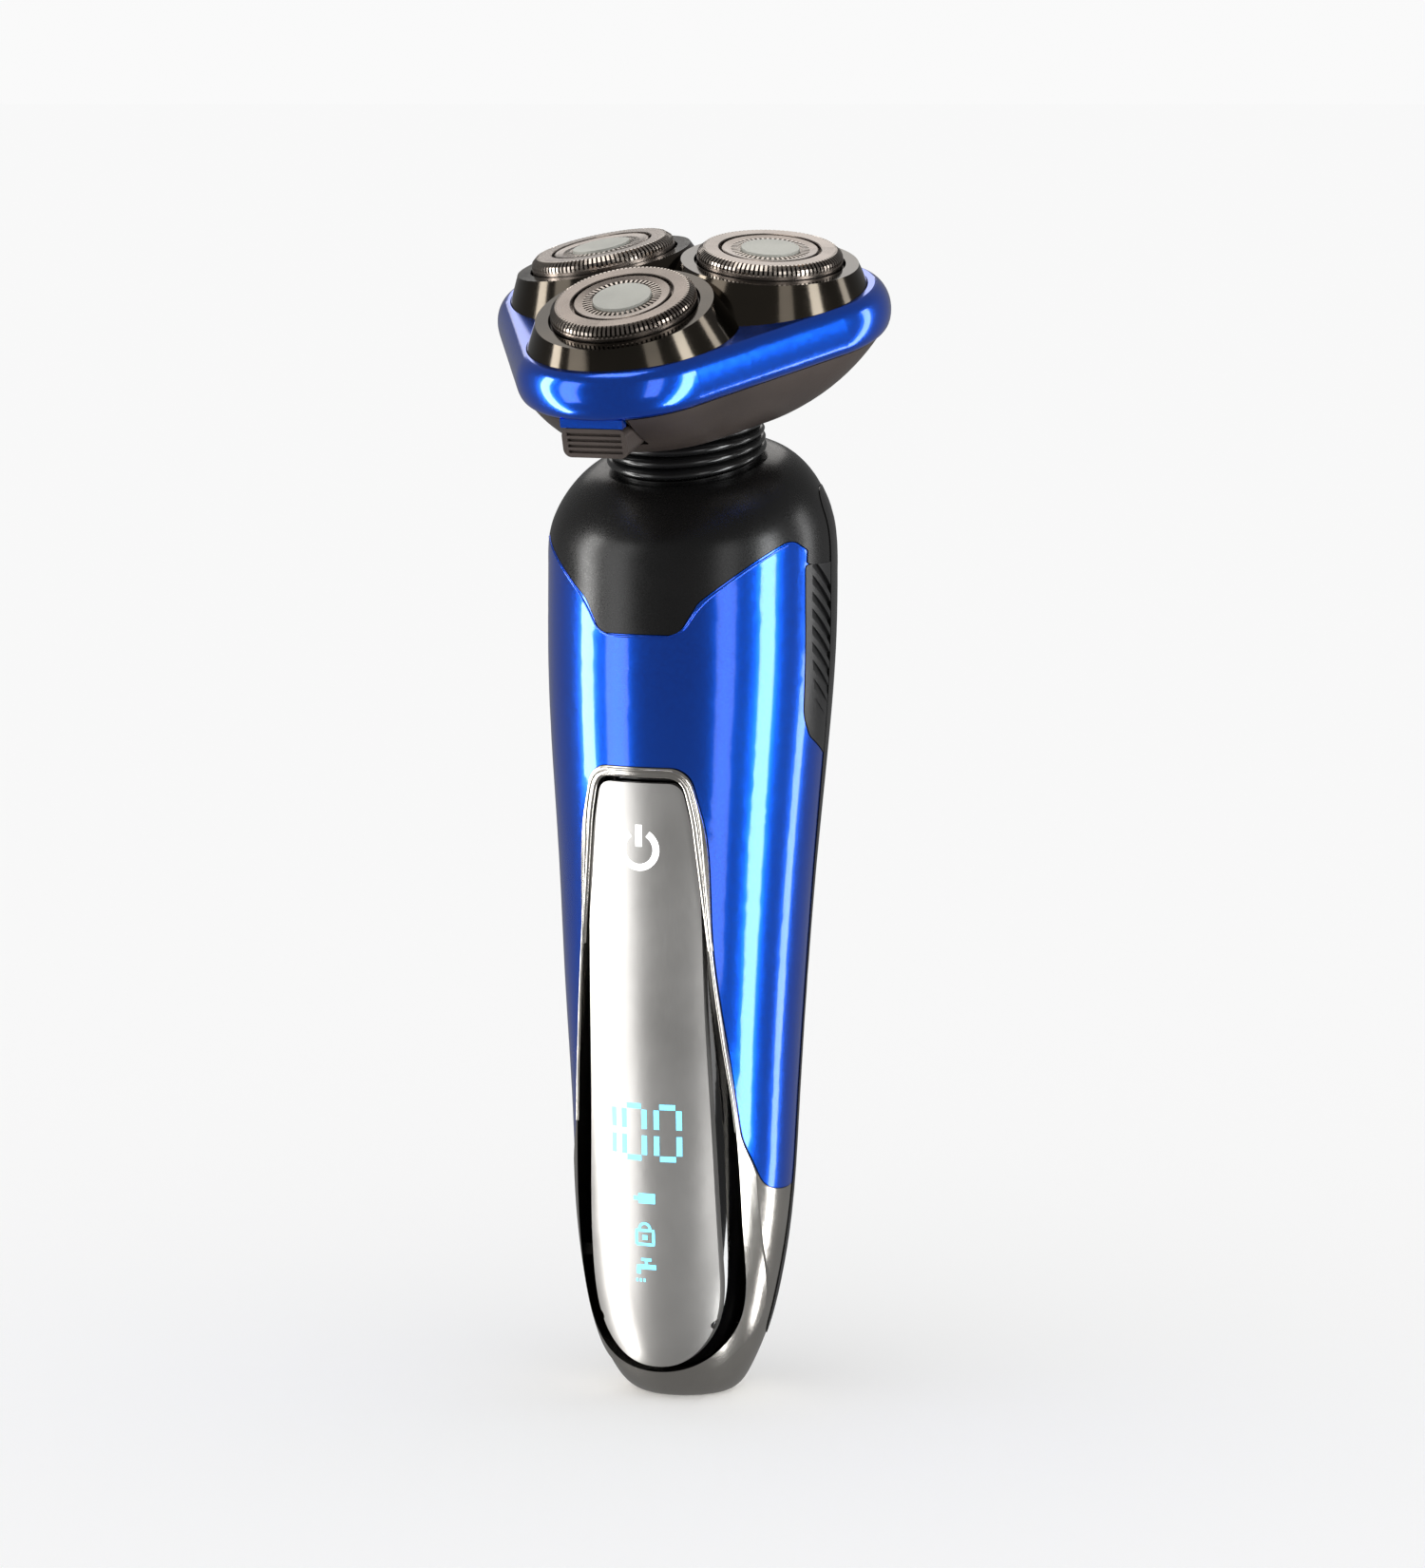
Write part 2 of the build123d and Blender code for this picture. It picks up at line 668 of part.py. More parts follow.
def chamber_form(inset):
    foot_plane = leaning(chamber_foot + inset, chamber_foot_lean)
    sections = [rounded_triangle(foot_plane, 1.0, chamber_foot_radius - inset)]
    for height, spread, radius in chamber_profile:
        sections.append(rounded_triangle(neck.offset(height), spread, radius - inset))
    return loft(sections)


chamber_outside, chamber_inside = chamber_form(0), chamber_form(head_wall)
hinge_line = Plane(origin=in_neck(0, hinge_back, hinge_height), x_dir=neck.y_dir, z_dir=neck.x_dir)
knuckle_length, knuckle_side = 8.0, 4.0
window_gap = 0.2
with BuildPart() as hair_chamber:
    add(chamber_outside)
    add(chamber_inside, mode=Mode.SUBTRACT)
    with BuildSketch(neck.offset(chamber_foot - 4)):
        Circle(4.4)
    extrude(amount=8, mode=Mode.SUBTRACT)
    for side in (-1, 1):
        with BuildSketch(neck.offset(gimbal_height - 1.3)):
            with Locations((0, side * (ear_inner + ear_outer) / 2)):
                Rectangle(ear_width, ear_outer - ear_inner)
        extrude(amount=6.4)
    with BuildSketch(cross_line):
        Circle(gimbal_pin + running)
    extrude(amount=ear_outer + 0.5, both=True, mode=Mode.SUBTRACT)
    with BuildSketch(Plane(origin=in_neck(0, 0, 0), x_dir=neck.x_dir, z_dir=-neck.y_dir)):
        with Locations((0, (button_top + button_bottom) / 2 + 2)):
            Rectangle(button_width + 2 * window_gap, button_top - button_bottom + 4 + 2 * window_gap)
    extrude(amount=40, mode=Mode.SUBTRACT)
    for side in (-1, 1):
        with BuildSketch(hinge_line.offset(side * (knuckle_length / 2 + hinge_gap))):
            Circle(hinge_radius)
            with Locations((-2.2, -1.9)):
                Rectangle(4.4, 1.8)
        extrude(amount=side * knuckle_side)
    with BuildSketch(hinge_line):
        Circle(hinge_pin_radius)
    extrude(amount=20, both=True, mode=Mode.SUBTRACT)

hair_chamber.part.label = "hair_chamber"
export_step(hair_chamber.part, "parts/hair_chamber.step")

with BuildPart() as hinge_pin:
    with BuildSketch(hinge_line):
        Circle(hinge_pin_radius)
    extrude(amount=knuckle_length / 2 + hinge_gap + knuckle_side, both=True)

hinge_pin.part.label = "hinge_pin"
export_step(hinge_pin.part, "parts/hinge_pin.step")

# ---- Head: gearbox -----------------------------------------------------------------------------------
lobe_screws = [(-30.0, 12.5), (90.0, 12.5), (210.0, 12.5)]
screw_radius, column_radius = 0.9, 1.9


def on_head(angle, distance):
    return (distance * cos(radians(angle)), distance * sin(radians(angle)))


def gear_outline(teeth, phase):
    """The corners of a spur gear with straight-sided teeth, one tooth centred on phase (degrees)."""
    pitch_radius = gear_module * teeth / 2
    root, tip = pitch_radius - 1.2 * gear_module, pitch_radius + 0.85 * gear_module
    half_tooth = pi * gear_module / 4 - gear_backlash / 2
    corners = []
    for tooth in range(teeth):
        middle = radians(phase) + 2 * pi * tooth / teeth
        for radius, side in ((root, -1), (tip, -1), (tip, 1), (root, 1)):
            half = (half_tooth - (radius - pitch_radius) * tan(radians(20))) / radius
            corners.append((radius * cos(middle + side * half), radius * sin(middle + side * half)))
    return corners


gear_plate_blank = extrude(rounded_triangle(neck.offset(plate_floor), 11.0, 11.2), amount=plate_thick)
with BuildPart() as gear_plate:
    add(gear_plate_blank)
    with BuildSketch(neck.offset(plate_floor - 1)):
        Circle(2.0 + running)
        for angle, distance in lobe_screws:
            with Locations(on_head(angle, distance)):
                Circle(screw_radius + running)
    extrude(amount=4, mode=Mode.SUBTRACT)
    for angle in lobes.values():
        with BuildSketch(gear_plane(angle, plate_floor)):
            Circle(post_radius)
        extrude(amount=3.0)

gear_plate.part.label = "gear_plate"
export_step(gear_plate.part, "parts/gear_plate.step")

spring_seat = -20.4
bar_front, bar_thick, bar_top, bar_width = 28.4, 1.6, 18.6, 4.0
bar_notch = bar_front - bar_thick - 1.6  # leaves room for the pressed bar
gearbox_cover_blank = extrude(rounded_triangle(neck.offset(cover_floor), 14.2, 12.4), amount=cover_thick)
with BuildPart() as gearbox_cover:
    add(gearbox_cover_blank)
    for angle, distance in lobe_screws:
        with BuildSketch(neck.offset(plate_floor + plate_thick)):
            with Locations(on_head(angle, distance)):
                Circle(column_radius)
        extrude(amount=cover_floor - plate_floor - plate_thick)
    with BuildSketch(neck.offset(cover_floor)):
        with Locations((0, spring_seat)):
            Rectangle(4.0, 1.0)
    extrude(amount=4.2)
    with BuildSketch(neck.offset(cover_floor)):
        with Locations((0, -bar_notch - 5)):
            Rectangle(bar_width + 0.8, 10)
    extrude(amount=cover_thick, mode=Mode.SUBTRACT)
    with BuildSketch(neck.offset(plate_floor)):
        for angle, distance in lobe_screws:
            with Locations(on_head(angle, distance)):
                Circle(screw_radius + running)
        for angle in lobes.values():
            with Locations(on_head(angle, gear_reach)):
                Circle(hub_outer + running)
    extrude(amount=8, mode=Mode.SUBTRACT)

gearbox_cover.part.label = "gearbox_cover"
export_step(gearbox_cover.part, "parts/gearbox_cover.step")

with BuildPart() as gearbox_screws:
    for angle, distance in lobe_screws:
        with BuildSketch(neck.offset(plate_floor - 0.6)):
            with Locations(on_head(angle, distance)):
                Circle(screw_radius)
        extrude(amount=cover_floor + cover_thick - plate_floor + 0.6)
        with BuildSketch(neck.offset(cover_floor + cover_thick)):
            with Locations(on_head(angle, distance)):
                Circle(1.7)
                Rectangle(2.2, 0.5, mode=Mode.SUBTRACT)
                Rectangle(0.5, 2.2, mode=Mode.SUBTRACT)
        extrude(amount=0.8)

gearbox_screws.part.label = "gearbox_screws"
export_step(gearbox_screws.part, "parts/gearbox_screws.step")

cup_gap, cup_radius, cup_bottom, cup_top = 0.35, 3.0, 1.9, 6.0
with BuildPart() as centre_gear:
    with BuildSketch(neck.offset(gear_floor)):
        Polygon(*gear_outline(centre_teeth, lobes["front"]), align=None)
    extrude(amount=gear_thick)
    with BuildSketch(neck.offset(cup_top)):
        Circle(2.0)
    extrude(amount=gear_floor - cup_top)
    with BuildSketch(neck.offset(cup_bottom)):
        Circle(cup_radius)
        RegularPolygon(ball_flats + cup_gap, 6, major_radius=False, mode=Mode.SUBTRACT)
    extrude(amount=gimbal_height + 1.6 - cup_bottom)
    with BuildSketch(neck.offset(gimbal_height + 1.6)):
        Circle(cup_radius)
    extrude(amount=cup_top - gimbal_height - 1.6)

centre_gear.part.label = "centre_gear"
export_step(centre_gear.part, "parts/centre_gear.step")


def coil(plane, radius, wire, length, turns):
    """A compression spring standing on a plane, its wire's ends at the plane and at length."""
    path = plane * Helix(pitch=(length - 2 * wire) / turns, height=length - 2 * wire, radius=radius)
    path = Pos(plane.z_dir * wire) * path
    section = Plane(origin=path @ 0, z_dir=path % 0) * Circle(wire)
    return sweep(section, path=path)


spring_wire = 0.28
tip_length, tip_width, tip_height = 2.6, 1.5, 1.9
for name, angle in lobes.items():
    with BuildPart() as driven_gear:
        with BuildSketch(gear_plane(angle, gear_floor)):
            Polygon(*gear_outline(lobe_teeth, angle + 180 + 180 / lobe_teeth), align=None)
        extrude(amount=gear_thick)
        with BuildSketch(gear_plane(angle, gear_floor)):
            Circle(hub_outer)
        extrude(amount=hub_top - gear_floor)
        with BuildSketch(gear_plane(angle, gear_floor + 0.5)):
            Circle(hub_inner)
        extrude(amount=hub_top, mode=Mode.SUBTRACT)
        with BuildSketch(gear_plane(angle, gear_floor - 1)):
            Circle(post_radius + running)
        extrude(amount=4, mode=Mode.SUBTRACT)

    driven_gear.part.label = f"driven_gear_{name}"
    export_step(driven_gear.part, f"parts/driven_gear_{name}.step")

    with BuildPart() as spindle_driver:
        for foot, top, radius in (
            (15.2, driver_collar - 0.7, hub_inner - running),
            (driver_collar - 0.7, driver_collar, hub_outer - 0.1),
            (driver_collar, driver_top - tip_height, 1.6),
        ):
            with BuildSketch(gear_plane(angle, foot)):
                Circle(radius)
            extrude(amount=top - foot)
        with BuildSketch(gear_plane(angle, driver_top - tip_height)):
            Rectangle(tip_length, tip_width, rotation=angle)
        extrude(amount=tip_height, taper=5)

    spindle_driver.part.label = f"spindle_driver_{name}"
    export_step(spindle_driver.part, f"parts/spindle_driver_{name}.step")

    seat = gear_plane(angle, hub_top + 0.02)
    spring_room = driver_collar - 0.7 - hub_top - 0.04
    spindle_spring = coil(seat, (hub_inner + hub_outer) / 2, spring_wire, spring_room, 3.5)
    spindle_spring.label = f"spindle_spring_{name}"
    export_step(spindle_spring, f"parts/spindle_spring_{name}.step")

# ---- Latch: a push button in the chamber's front -------------------------------------------------------
front_view = Plane(origin=neck.origin, x_dir=neck.x_dir, z_dir=-neck.y_dir)
button_inside, button_front, button_middle = 0.6, 30.1, (button_top + button_bottom) / 2
groove_count, groove_width, groove_depth = 4, 0.45, 0.5
groove_pitch = (button_top - button_bottom) / (groove_count + 1)
button_core = chamber_form(button_inside)
with BuildPart() as release_button:
    with BuildSketch(front_view):
        with Locations((0, button_middle)):
            RectangleRounded(button_width, button_top - button_bottom, 1.2)
    extrude(amount=button_front)
    add(button_core, mode=Mode.SUBTRACT)
    with BuildSketch(front_view.offset(button_front)):
        with GridLocations(0, groove_pitch, 1, groove_count):
            with Locations((0, button_middle)):
                Rectangle(button_width - 1.6, groove_width)
    extrude(amount=-groove_depth, mode=Mode.SUBTRACT)
    with BuildSketch(front_view.offset(bar_front - bar_thick)):
        with Locations((0, (button_middle + bar_top) / 2)):
            Rectangle(bar_width, bar_top - button_middle)
    extrude(amount=bar_thick)

release_button.part.label = "release_button"
export_step(release_button.part, "parts/release_button.step")

spring_line, spring_radius, latch_wire = 17.5, 1.2, 0.25
spring_plane = Plane(
    origin=in_neck(0, spring_seat - 0.56, spring_line), x_dir=neck.x_dir, z_dir=-neck.y_dir
)
spring_length = bar_front - bar_thick + spring_seat - 0.62
release_spring = coil(spring_plane, spring_radius, latch_wire, spring_length, 6)
release_spring.label = "release_spring"
export_step(release_spring, "parts/release_spring.step")

# ---- Head cover: ring, bezel and retainer ----------------------------------------------------------------
ring_wall = 1.5


def ring_form(levels, smooth):
    """The ring's form through (height above ring_bottom, change of radius) levels."""
    sections = []
    for height, change in levels:
        plane = neck.offset(ring_bottom + height)
        sections.append(rounded_triangle(plane, head_pitch_radius, ring_radius + change))
    return loft(sections, ruled=not smooth)


def lobe_cone(angle, top, foot, top_radius, foot_radius):
    """A cone round one cap's axis."""
    sections = [cap_plane(angle, foot) * Circle(foot_radius), cap_plane(angle, top) * Circle(top_radius)]
    return loft(sections)


ring_height = ring_top - ring_bottom
ring_outer = [
    (0.0, -1.6), (0.8, -0.45), (2.1, 0.0), (4.1, 0.0), (ring_height - 1.2, -0.6), (ring_height, -1.9),
]
ring_inner = [(-0.1, -0.6 - ring_wall), (4.3, -ring_wall), (ring_height - 1.4, -0.3 - ring_wall)]
ring_solid, ring_hollow = ring_form(ring_outer, True), ring_form(ring_inner, False)
bezel_slope = (bezel_foot_radius - bezel_top_radius) / (bezel_top - bezel_foot)
bezel_depth = 8.6
cap_hole, collar_depth = cap_radius + 0.5, 3.6
skirt_radius = bezel_top_radius + bezel_slope * (bezel_depth + bezel_top)
catch_front, catch_back, catch_bottom, catch_top = 31.0, 28.7, 17.2, 18.4
cone_tip = bezel_top_radius - 3.0 * bezel_slope
bezel_cones, bezel_rooms, bezel_hollows = [], [], []
for angle in lobes.values():
    bezel_cones.append(lobe_cone(angle, bezel_top, -bezel_depth, bezel_top_radius, skirt_radius))
    room = (cone_tip + seam_gap, skirt_radius + bezel_slope + seam_gap)
    bezel_rooms.append(lobe_cone(angle, bezel_top + 3.0, -bezel_depth - 1.0, *room))
    hollow = (bezel_top_radius - 0.6, skirt_radius - 1.2)
    bezel_hollows.append(lobe_cone(angle, -collar_depth, -bezel_depth - 0.5, *hollow))

with BuildPart() as blue_ring:
    add(ring_solid)
    add(ring_hollow, mode=Mode.SUBTRACT)
    for room in bezel_rooms:
        add(room, mode=Mode.SUBTRACT)
    with BuildSketch(neck.offset(ring_bottom)):
        Circle(7.5)
    extrude(amount=10, mode=Mode.SUBTRACT)
    with BuildSketch(front_view.offset(catch_back)):
        with Locations((0, (catch_bottom + catch_top) / 2)):
            Rectangle(bar_width + 0.8, catch_top - catch_bottom)
    extrude(amount=catch_front - catch_back)
    with BuildSketch(neck.offset(button_top + 0.25)):
        with Locations((0, -head_pitch_radius - ring_radius + 2.05)):
            Rectangle(button_width - 0.4, 1.3)
    extrude(amount=ring_bottom - button_top)
    with BuildSketch(hinge_line.offset(-knuckle_length / 2)):
        Circle(hinge_radius)
        with Locations((-1.5, 0.9)):
            Rectangle(3.0, 1.2)
    extrude(amount=knuckle_length)
    with BuildSketch(hinge_line):
        Circle(hinge_pin_radius + running)
    extrude(amount=20, both=True, mode=Mode.SUBTRACT)

blue_ring.part.label = "blue_ring"
export_step(blue_ring.part, "parts/blue_ring.step")

with BuildPart() as head_bezel:
    for cone in bezel_cones:
        add(cone)
    for hollow in bezel_hollows:
        add(hollow, mode=Mode.SUBTRACT)
    for angle in lobes.values():
        with BuildSketch(cap_plane(angle)):
            Circle(cap_hole)
        extrude(amount=-12, mode=Mode.SUBTRACT)
    with BuildSketch(neck.offset(retainer_floor + retainer_thick + 0.05)):
        Rectangle(100, 100)
    extrude(amount=-30, mode=Mode.SUBTRACT)

head_bezel.part.label = "head_bezel"
export_step(head_bezel.part, "parts/head_bezel.step")

retainer_plate_blank = extrude(rounded_triangle(neck.offset(retainer_floor), 15.5, 14.2), amount=retainer_thick)
with BuildPart() as retainer_plate:
    add(retainer_plate_blank)
    with BuildSketch(neck.offset(retainer_floor)):
        for angle in lobes.values():
            with Locations(on_head(angle, gear_reach)):
                Circle(7.5)
    extrude(amount=retainer_thick, mode=Mode.SUBTRACT)

retainer_plate.part.label = "retainer_plate"
export_step(retainer_plate.part, "parts/retainer_plate.step")

# ---- Caps, discs, holders and cutters ----------------------------------------------------------------------
cap_slots, slot_width = 60, 0.36
cap_profile = [
    (4.7, -0.55), (7.0, -0.45), (7.1, -0.9), (7.5, -0.9), (7.6, 0.0), (9.6, 0.0), (10.5, -0.9), (10.6, -2.6),
    (10.1, -2.6), (10.0, -1.1), (9.4, -0.5), (7.9, -0.5), (7.8, -1.4), (6.8, -1.4), (6.6, -0.95), (4.7, -1.0),
]
blade_count = 15
socket_length, socket_width = 4.0, 2.9
for name, angle in lobes.items():
    cap = cap_plane(angle)
    radial = Plane(origin=cap.origin, x_dir=cap.x_dir, z_dir=-cap.y_dir)
    with BuildPart() as shaving_cap:
        with BuildSketch(radial):
            Polygon(*cap_profile, align=None)
        revolve(axis=Axis(cap.origin, cap.z_dir))
        with BuildSketch(cap.offset(-1.2)):
            with PolarLocations(9.2, cap_slots):
                Rectangle(2.3, slot_width)
        extrude(amount=2, mode=Mode.SUBTRACT)

    shaving_cap.part.label = f"shaving_cap_{name}"
    export_step(shaving_cap.part, f"parts/shaving_cap_{name}.step")

    with BuildPart() as cap_disc:
        with BuildSketch(cap.offset(-1.0)):
            Circle(4.65)
        extrude(amount=0.6)
        with BuildSketch(cap.offset(-0.4)):
            Circle(4.2)
        extrude(amount=0.5)

    cap_disc.part.label = f"cap_disc_{name}"
    export_step(cap_disc.part, f"parts/cap_disc_{name}.step")

    with BuildPart() as cap_holder:
        with BuildSketch(cap.offset(-4.7)):
            Circle(cap_radius + 0.2)
            Circle(9.8, mode=Mode.SUBTRACT)
        extrude(amount=2.05)
        with BuildSketch(cap.offset(-4.7)):
            Circle(cap_radius + 1.1)
            Circle(6.5, mode=Mode.SUBTRACT)
        extrude(amount=0.7)

    cap_holder.part.label = f"cap_holder_{name}"
    export_step(cap_holder.part, f"parts/cap_holder_{name}.step")

    with BuildPart() as cutter:
        with BuildSketch(cap.offset(-3.4)):
            Circle(9.4)
        extrude(amount=0.7)
        with BuildSketch(cap.offset(-2.7)):
            with PolarLocations(8.65, blade_count):
                Rectangle(1.3, 0.4)
        extrude(amount=2.05)
        with BuildSketch(cap.offset(-5.8)):
            Circle(3.4)
        extrude(amount=2.4)
        with BuildSketch(cap.offset(-5.8)):
            Rectangle(socket_length, socket_width)
        extrude(amount=1.9, mode=Mode.SUBTRACT)

    cutter.part.label = f"cutter_{name}"
    export_step(cutter.part, f"parts/cutter_{name}.step")
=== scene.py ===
from math import cos, pi, radians, sin

import bmesh
import bpy
from mathutils import Matrix, Vector
from mathutils.bvhtree import BVHTree


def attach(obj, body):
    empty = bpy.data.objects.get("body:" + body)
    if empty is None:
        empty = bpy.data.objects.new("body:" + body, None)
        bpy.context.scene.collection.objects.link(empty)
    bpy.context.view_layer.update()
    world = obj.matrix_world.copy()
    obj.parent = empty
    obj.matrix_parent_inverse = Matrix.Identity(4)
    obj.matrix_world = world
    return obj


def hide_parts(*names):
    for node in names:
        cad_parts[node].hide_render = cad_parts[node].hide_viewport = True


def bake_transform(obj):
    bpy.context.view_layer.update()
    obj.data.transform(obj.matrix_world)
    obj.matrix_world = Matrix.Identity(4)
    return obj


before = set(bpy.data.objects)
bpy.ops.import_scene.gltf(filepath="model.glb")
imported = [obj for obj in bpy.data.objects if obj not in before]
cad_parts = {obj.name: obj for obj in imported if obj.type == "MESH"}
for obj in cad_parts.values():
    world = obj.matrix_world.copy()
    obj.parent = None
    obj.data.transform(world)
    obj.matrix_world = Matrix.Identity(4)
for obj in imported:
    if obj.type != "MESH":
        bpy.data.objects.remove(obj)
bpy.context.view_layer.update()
mm = 0.001
print("frame loaded:", len(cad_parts), "nodes")


def tone(red, green, blue):
    # 0 to 255 screen values to a linear colour
    shares = [channel / 255 for channel in (red, green, blue)]
    return tuple(s / 12.92 if s <= 0.04 else ((s + 0.055) / 1.055) ** 2.4 for s in shares) + (1.0,)


# ---- camera, light and floor
camera = {
    "azimuth": 23.5, "elevation": 7.2, "distance": 860, "aside": 3.4, "behind": 1.9, "height": 90,
    "lens": 134.2, "sensor": 36, "nearest": 0.05, "farthest": 20,
}


def facing(azimuth, elevation):
    # unit vector from the shaver towards a point round it; 0 is the front
    a, e = radians(azimuth), radians(elevation)
    return Vector((sin(a) * cos(e), -cos(a) * cos(e), sin(e)))


def addCamera():
    back = facing(camera["azimuth"], camera["elevation"])
    right = Vector((cos(radians(camera["azimuth"])), sin(radians(camera["azimuth"])), 0))
    target = (right * camera["aside"] + Vector((0, camera["behind"], camera["height"]))) * mm
    data = bpy.data.cameras.new("studioCamera")
    data.lens = camera["lens"]
    data.sensor_width = camera["sensor"]
    data.clip_start = camera["nearest"]
    data.clip_end = camera["farthest"]
    view = bpy.data.objects.new("studioCamera", data)
    view.location = target + back * camera["distance"] * mm
    view.rotation_euler = back.to_track_quat("Z", "Y").to_euler()
    bpy.context.scene.collection.objects.link(view)
    bpy.context.scene.camera = view


lightHeight = 95.0  # the soft boxes face this height on the shaver
# name: azimuth, elevation, distance (m), width (m), height (m), watts, colour
softBoxes = {
    "leftStrip": (-68, -8, 0.90, 0.20, 1.50, 12.0, (1.0, 0.99, 0.97)),
    "leftWash": (-40, 4, 1.00, 0.34, 1.10, 3.2, (1.0, 1.0, 1.0)),
    "rightWash": (44, 6, 1.00, 0.26, 1.00, 1.6, (1.0, 1.0, 1.0)),
    "rightStrip": (79, -8, 0.90, 0.22, 1.50, 12.0, (0.97, 0.99, 1.0)),
    "rightRim": (122, 0, 0.90, 0.16, 1.20, 3.6, (1.0, 1.0, 1.0)),
    "capBox": (-150, 40, 0.90, 0.60, 0.55, 1.5, (1.0, 0.97, 0.94)),
    "topBox": (-20, 72, 0.80, 0.40, 0.24, 0.9, (1.0, 0.98, 0.95)),
}


def addLights():
    middle = Vector((0, 0, lightHeight * mm))
    for name, (azimuth, elevation, distance, width, height, watts, colour) in softBoxes.items():
        data = bpy.data.lights.new(name, "AREA")
        data.shape = "RECTANGLE"
        data.size, data.size_y = width, height
        data.energy = watts
        data.color = colour
        light = bpy.data.objects.new(name, data)
        away = facing(azimuth, elevation)
        light.location = middle + away * distance
        light.rotation_euler = away.to_track_quat("Z", "Y").to_euler()
        bpy.context.scene.collection.objects.link(light)
        light.light_linking.receiver_collection = floorOnly


# Tones of the world as the camera sees it, as it lights and as gloss mirrors it, and of the floor.
room = {
    "seen": 0.955, "fill": 0.97, "mirrored": 0.20, "floor": 0.97, "mirroredFloor": 0.22, "floorSize": 60.0,
}


def pathMix(tree, ray, first, second):
    # first, or second where the ray is of that kind
    path = tree.nodes.new("ShaderNodeLightPath")
    mix = tree.nodes.new("ShaderNodeMixShader")
    tree.links.new(path.outputs[ray], mix.inputs[0])
    tree.links.new(first, mix.inputs[1])
    tree.links.new(second, mix.inputs[2])
    return mix.outputs[0]


def addRoom():
    world = bpy.data.worlds.new("paleRoom")
    bpy.context.scene.world = world
    world.use_nodes = True
    tree = world.node_tree
    shades = {}
    for name in ("seen", "fill", "mirrored"):
        shade = tree.nodes.new("ShaderNodeBackground")
        shade.inputs["Color"].default_value = (room[name],) * 3 + (1,)
        shades[name] = shade.outputs[0]
    lit = pathMix(tree, "Is Glossy Ray", shades["fill"], shades["mirrored"])
    seen = pathMix(tree, "Is Camera Ray", lit, shades["seen"])
    tree.links.new(seen, tree.nodes["World Output"].inputs["Surface"])
    half = room["floorSize"] / 2
    mesh = bpy.data.meshes.new("paleFloor")
    corners = [(-half, -half, 0), (half, -half, 0), (half, half, 0), (-half, half, 0)]
    mesh.from_pydata(corners, [], [(0, 1, 2, 3)])
    floor = bpy.data.objects.new("paleFloor", mesh)
    bpy.context.scene.collection.objects.link(floor)
    floorOnly.objects.link(floor)
    floor.visible_glossy, floor.visible_shadow = False, False
    floorOnly.collection_objects[0].light_linking.link_state = "EXCLUDE"
    paper = bpy.data.materials.new("paperFloor")
    paper.use_nodes = True
    tree = paper.node_tree
    sides = []
    for name in ("floor", "mirroredFloor"):
        side = tree.nodes.new("ShaderNodeBsdfDiffuse")
        side.inputs["Color"].default_value = (room[name],) * 3 + (1,)
        sides.append(side.outputs[0])
    surface = tree.nodes["Material Output"].inputs["Surface"]
    tree.links.new(pathMix(tree, "Is Glossy Ray", sides[0], sides[1]), surface)
    mesh.materials.append(paper)
    bpy.context.scene.view_settings.view_transform = "Standard"


floorOnly = bpy.data.collections.new("floorOnly")  # the soft boxes leave it out
addCamera()
addLights()
addRoom()
print("camera, lights and floor set")


# ---- shared shader groups
smudges = {"scale": 140.0, "detail": 4, "low": 0.42, "high": 0.72}
grainSpread = {"detail": 2, "low": 0.3, "high": 0.7}
roughShares = {"grain": 0.6, "smudge": 0.4}
driftDetail, flakeDrift, bumpDistance = 3, {"scale": 45.0, "detail": 2}, 0.05


def startGroup(name, inputs, outputs):
    tree = bpy.data.node_groups.new(name, "ShaderNodeTree")
    for label, kind, value in inputs:
        tree.interface.new_socket(label, in_out="INPUT", socket_type=kind).default_value = value
    for label, kind in outputs:
        tree.interface.new_socket(label, in_out="OUTPUT", socket_type=kind)
    return tree, tree.nodes.new("NodeGroupInput"), tree.nodes.new("NodeGroupOutput")


def noise(tree, source, scale, detail, low=0.35, high=0.65, stretch=None):
    # a noise stretched to 0..1; scale may be a socket
    if stretch is not None:
        stretched = tree.nodes.new("ShaderNodeVectorMath")
        stretched.operation = "MULTIPLY"
        tree.links.new(source, stretched.inputs[0])
        tree.links.new(stretch, stretched.inputs[1])
        source = stretched.outputs[0]
    node = tree.nodes.new("ShaderNodeTexNoise")
    node.inputs["Detail"].default_value = detail
    tree.links.new(source, node.inputs["Vector"])
    if isinstance(scale, (int, float)):
        node.inputs["Scale"].default_value = scale
    else:
        tree.links.new(scale, node.inputs["Scale"])
    spread = tree.nodes.new("ShaderNodeMapRange")
    spread.inputs["From Min"].default_value = low
    spread.inputs["From Max"].default_value = high
    tree.links.new(node.outputs["Fac"], spread.inputs["Value"])
    return spread.outputs["Result"]


def mixTone(tree, factor, first, second):
    mix = tree.nodes.new("ShaderNodeMix")
    mix.data_type = "RGBA"
    tree.links.new(factor, mix.inputs["Factor"])
    tree.links.new(first, mix.inputs["A"])
    tree.links.new(second, mix.inputs["B"])
    return mix.outputs["Result"]


def mapValue(tree, source, low, high):
    spread = tree.nodes.new("ShaderNodeMapRange")
    tree.links.new(source, spread.inputs["Value"])
    tree.links.new(low, spread.inputs["To Min"])
    tree.links.new(high, spread.inputs["To Max"])
    return spread.outputs["Result"]


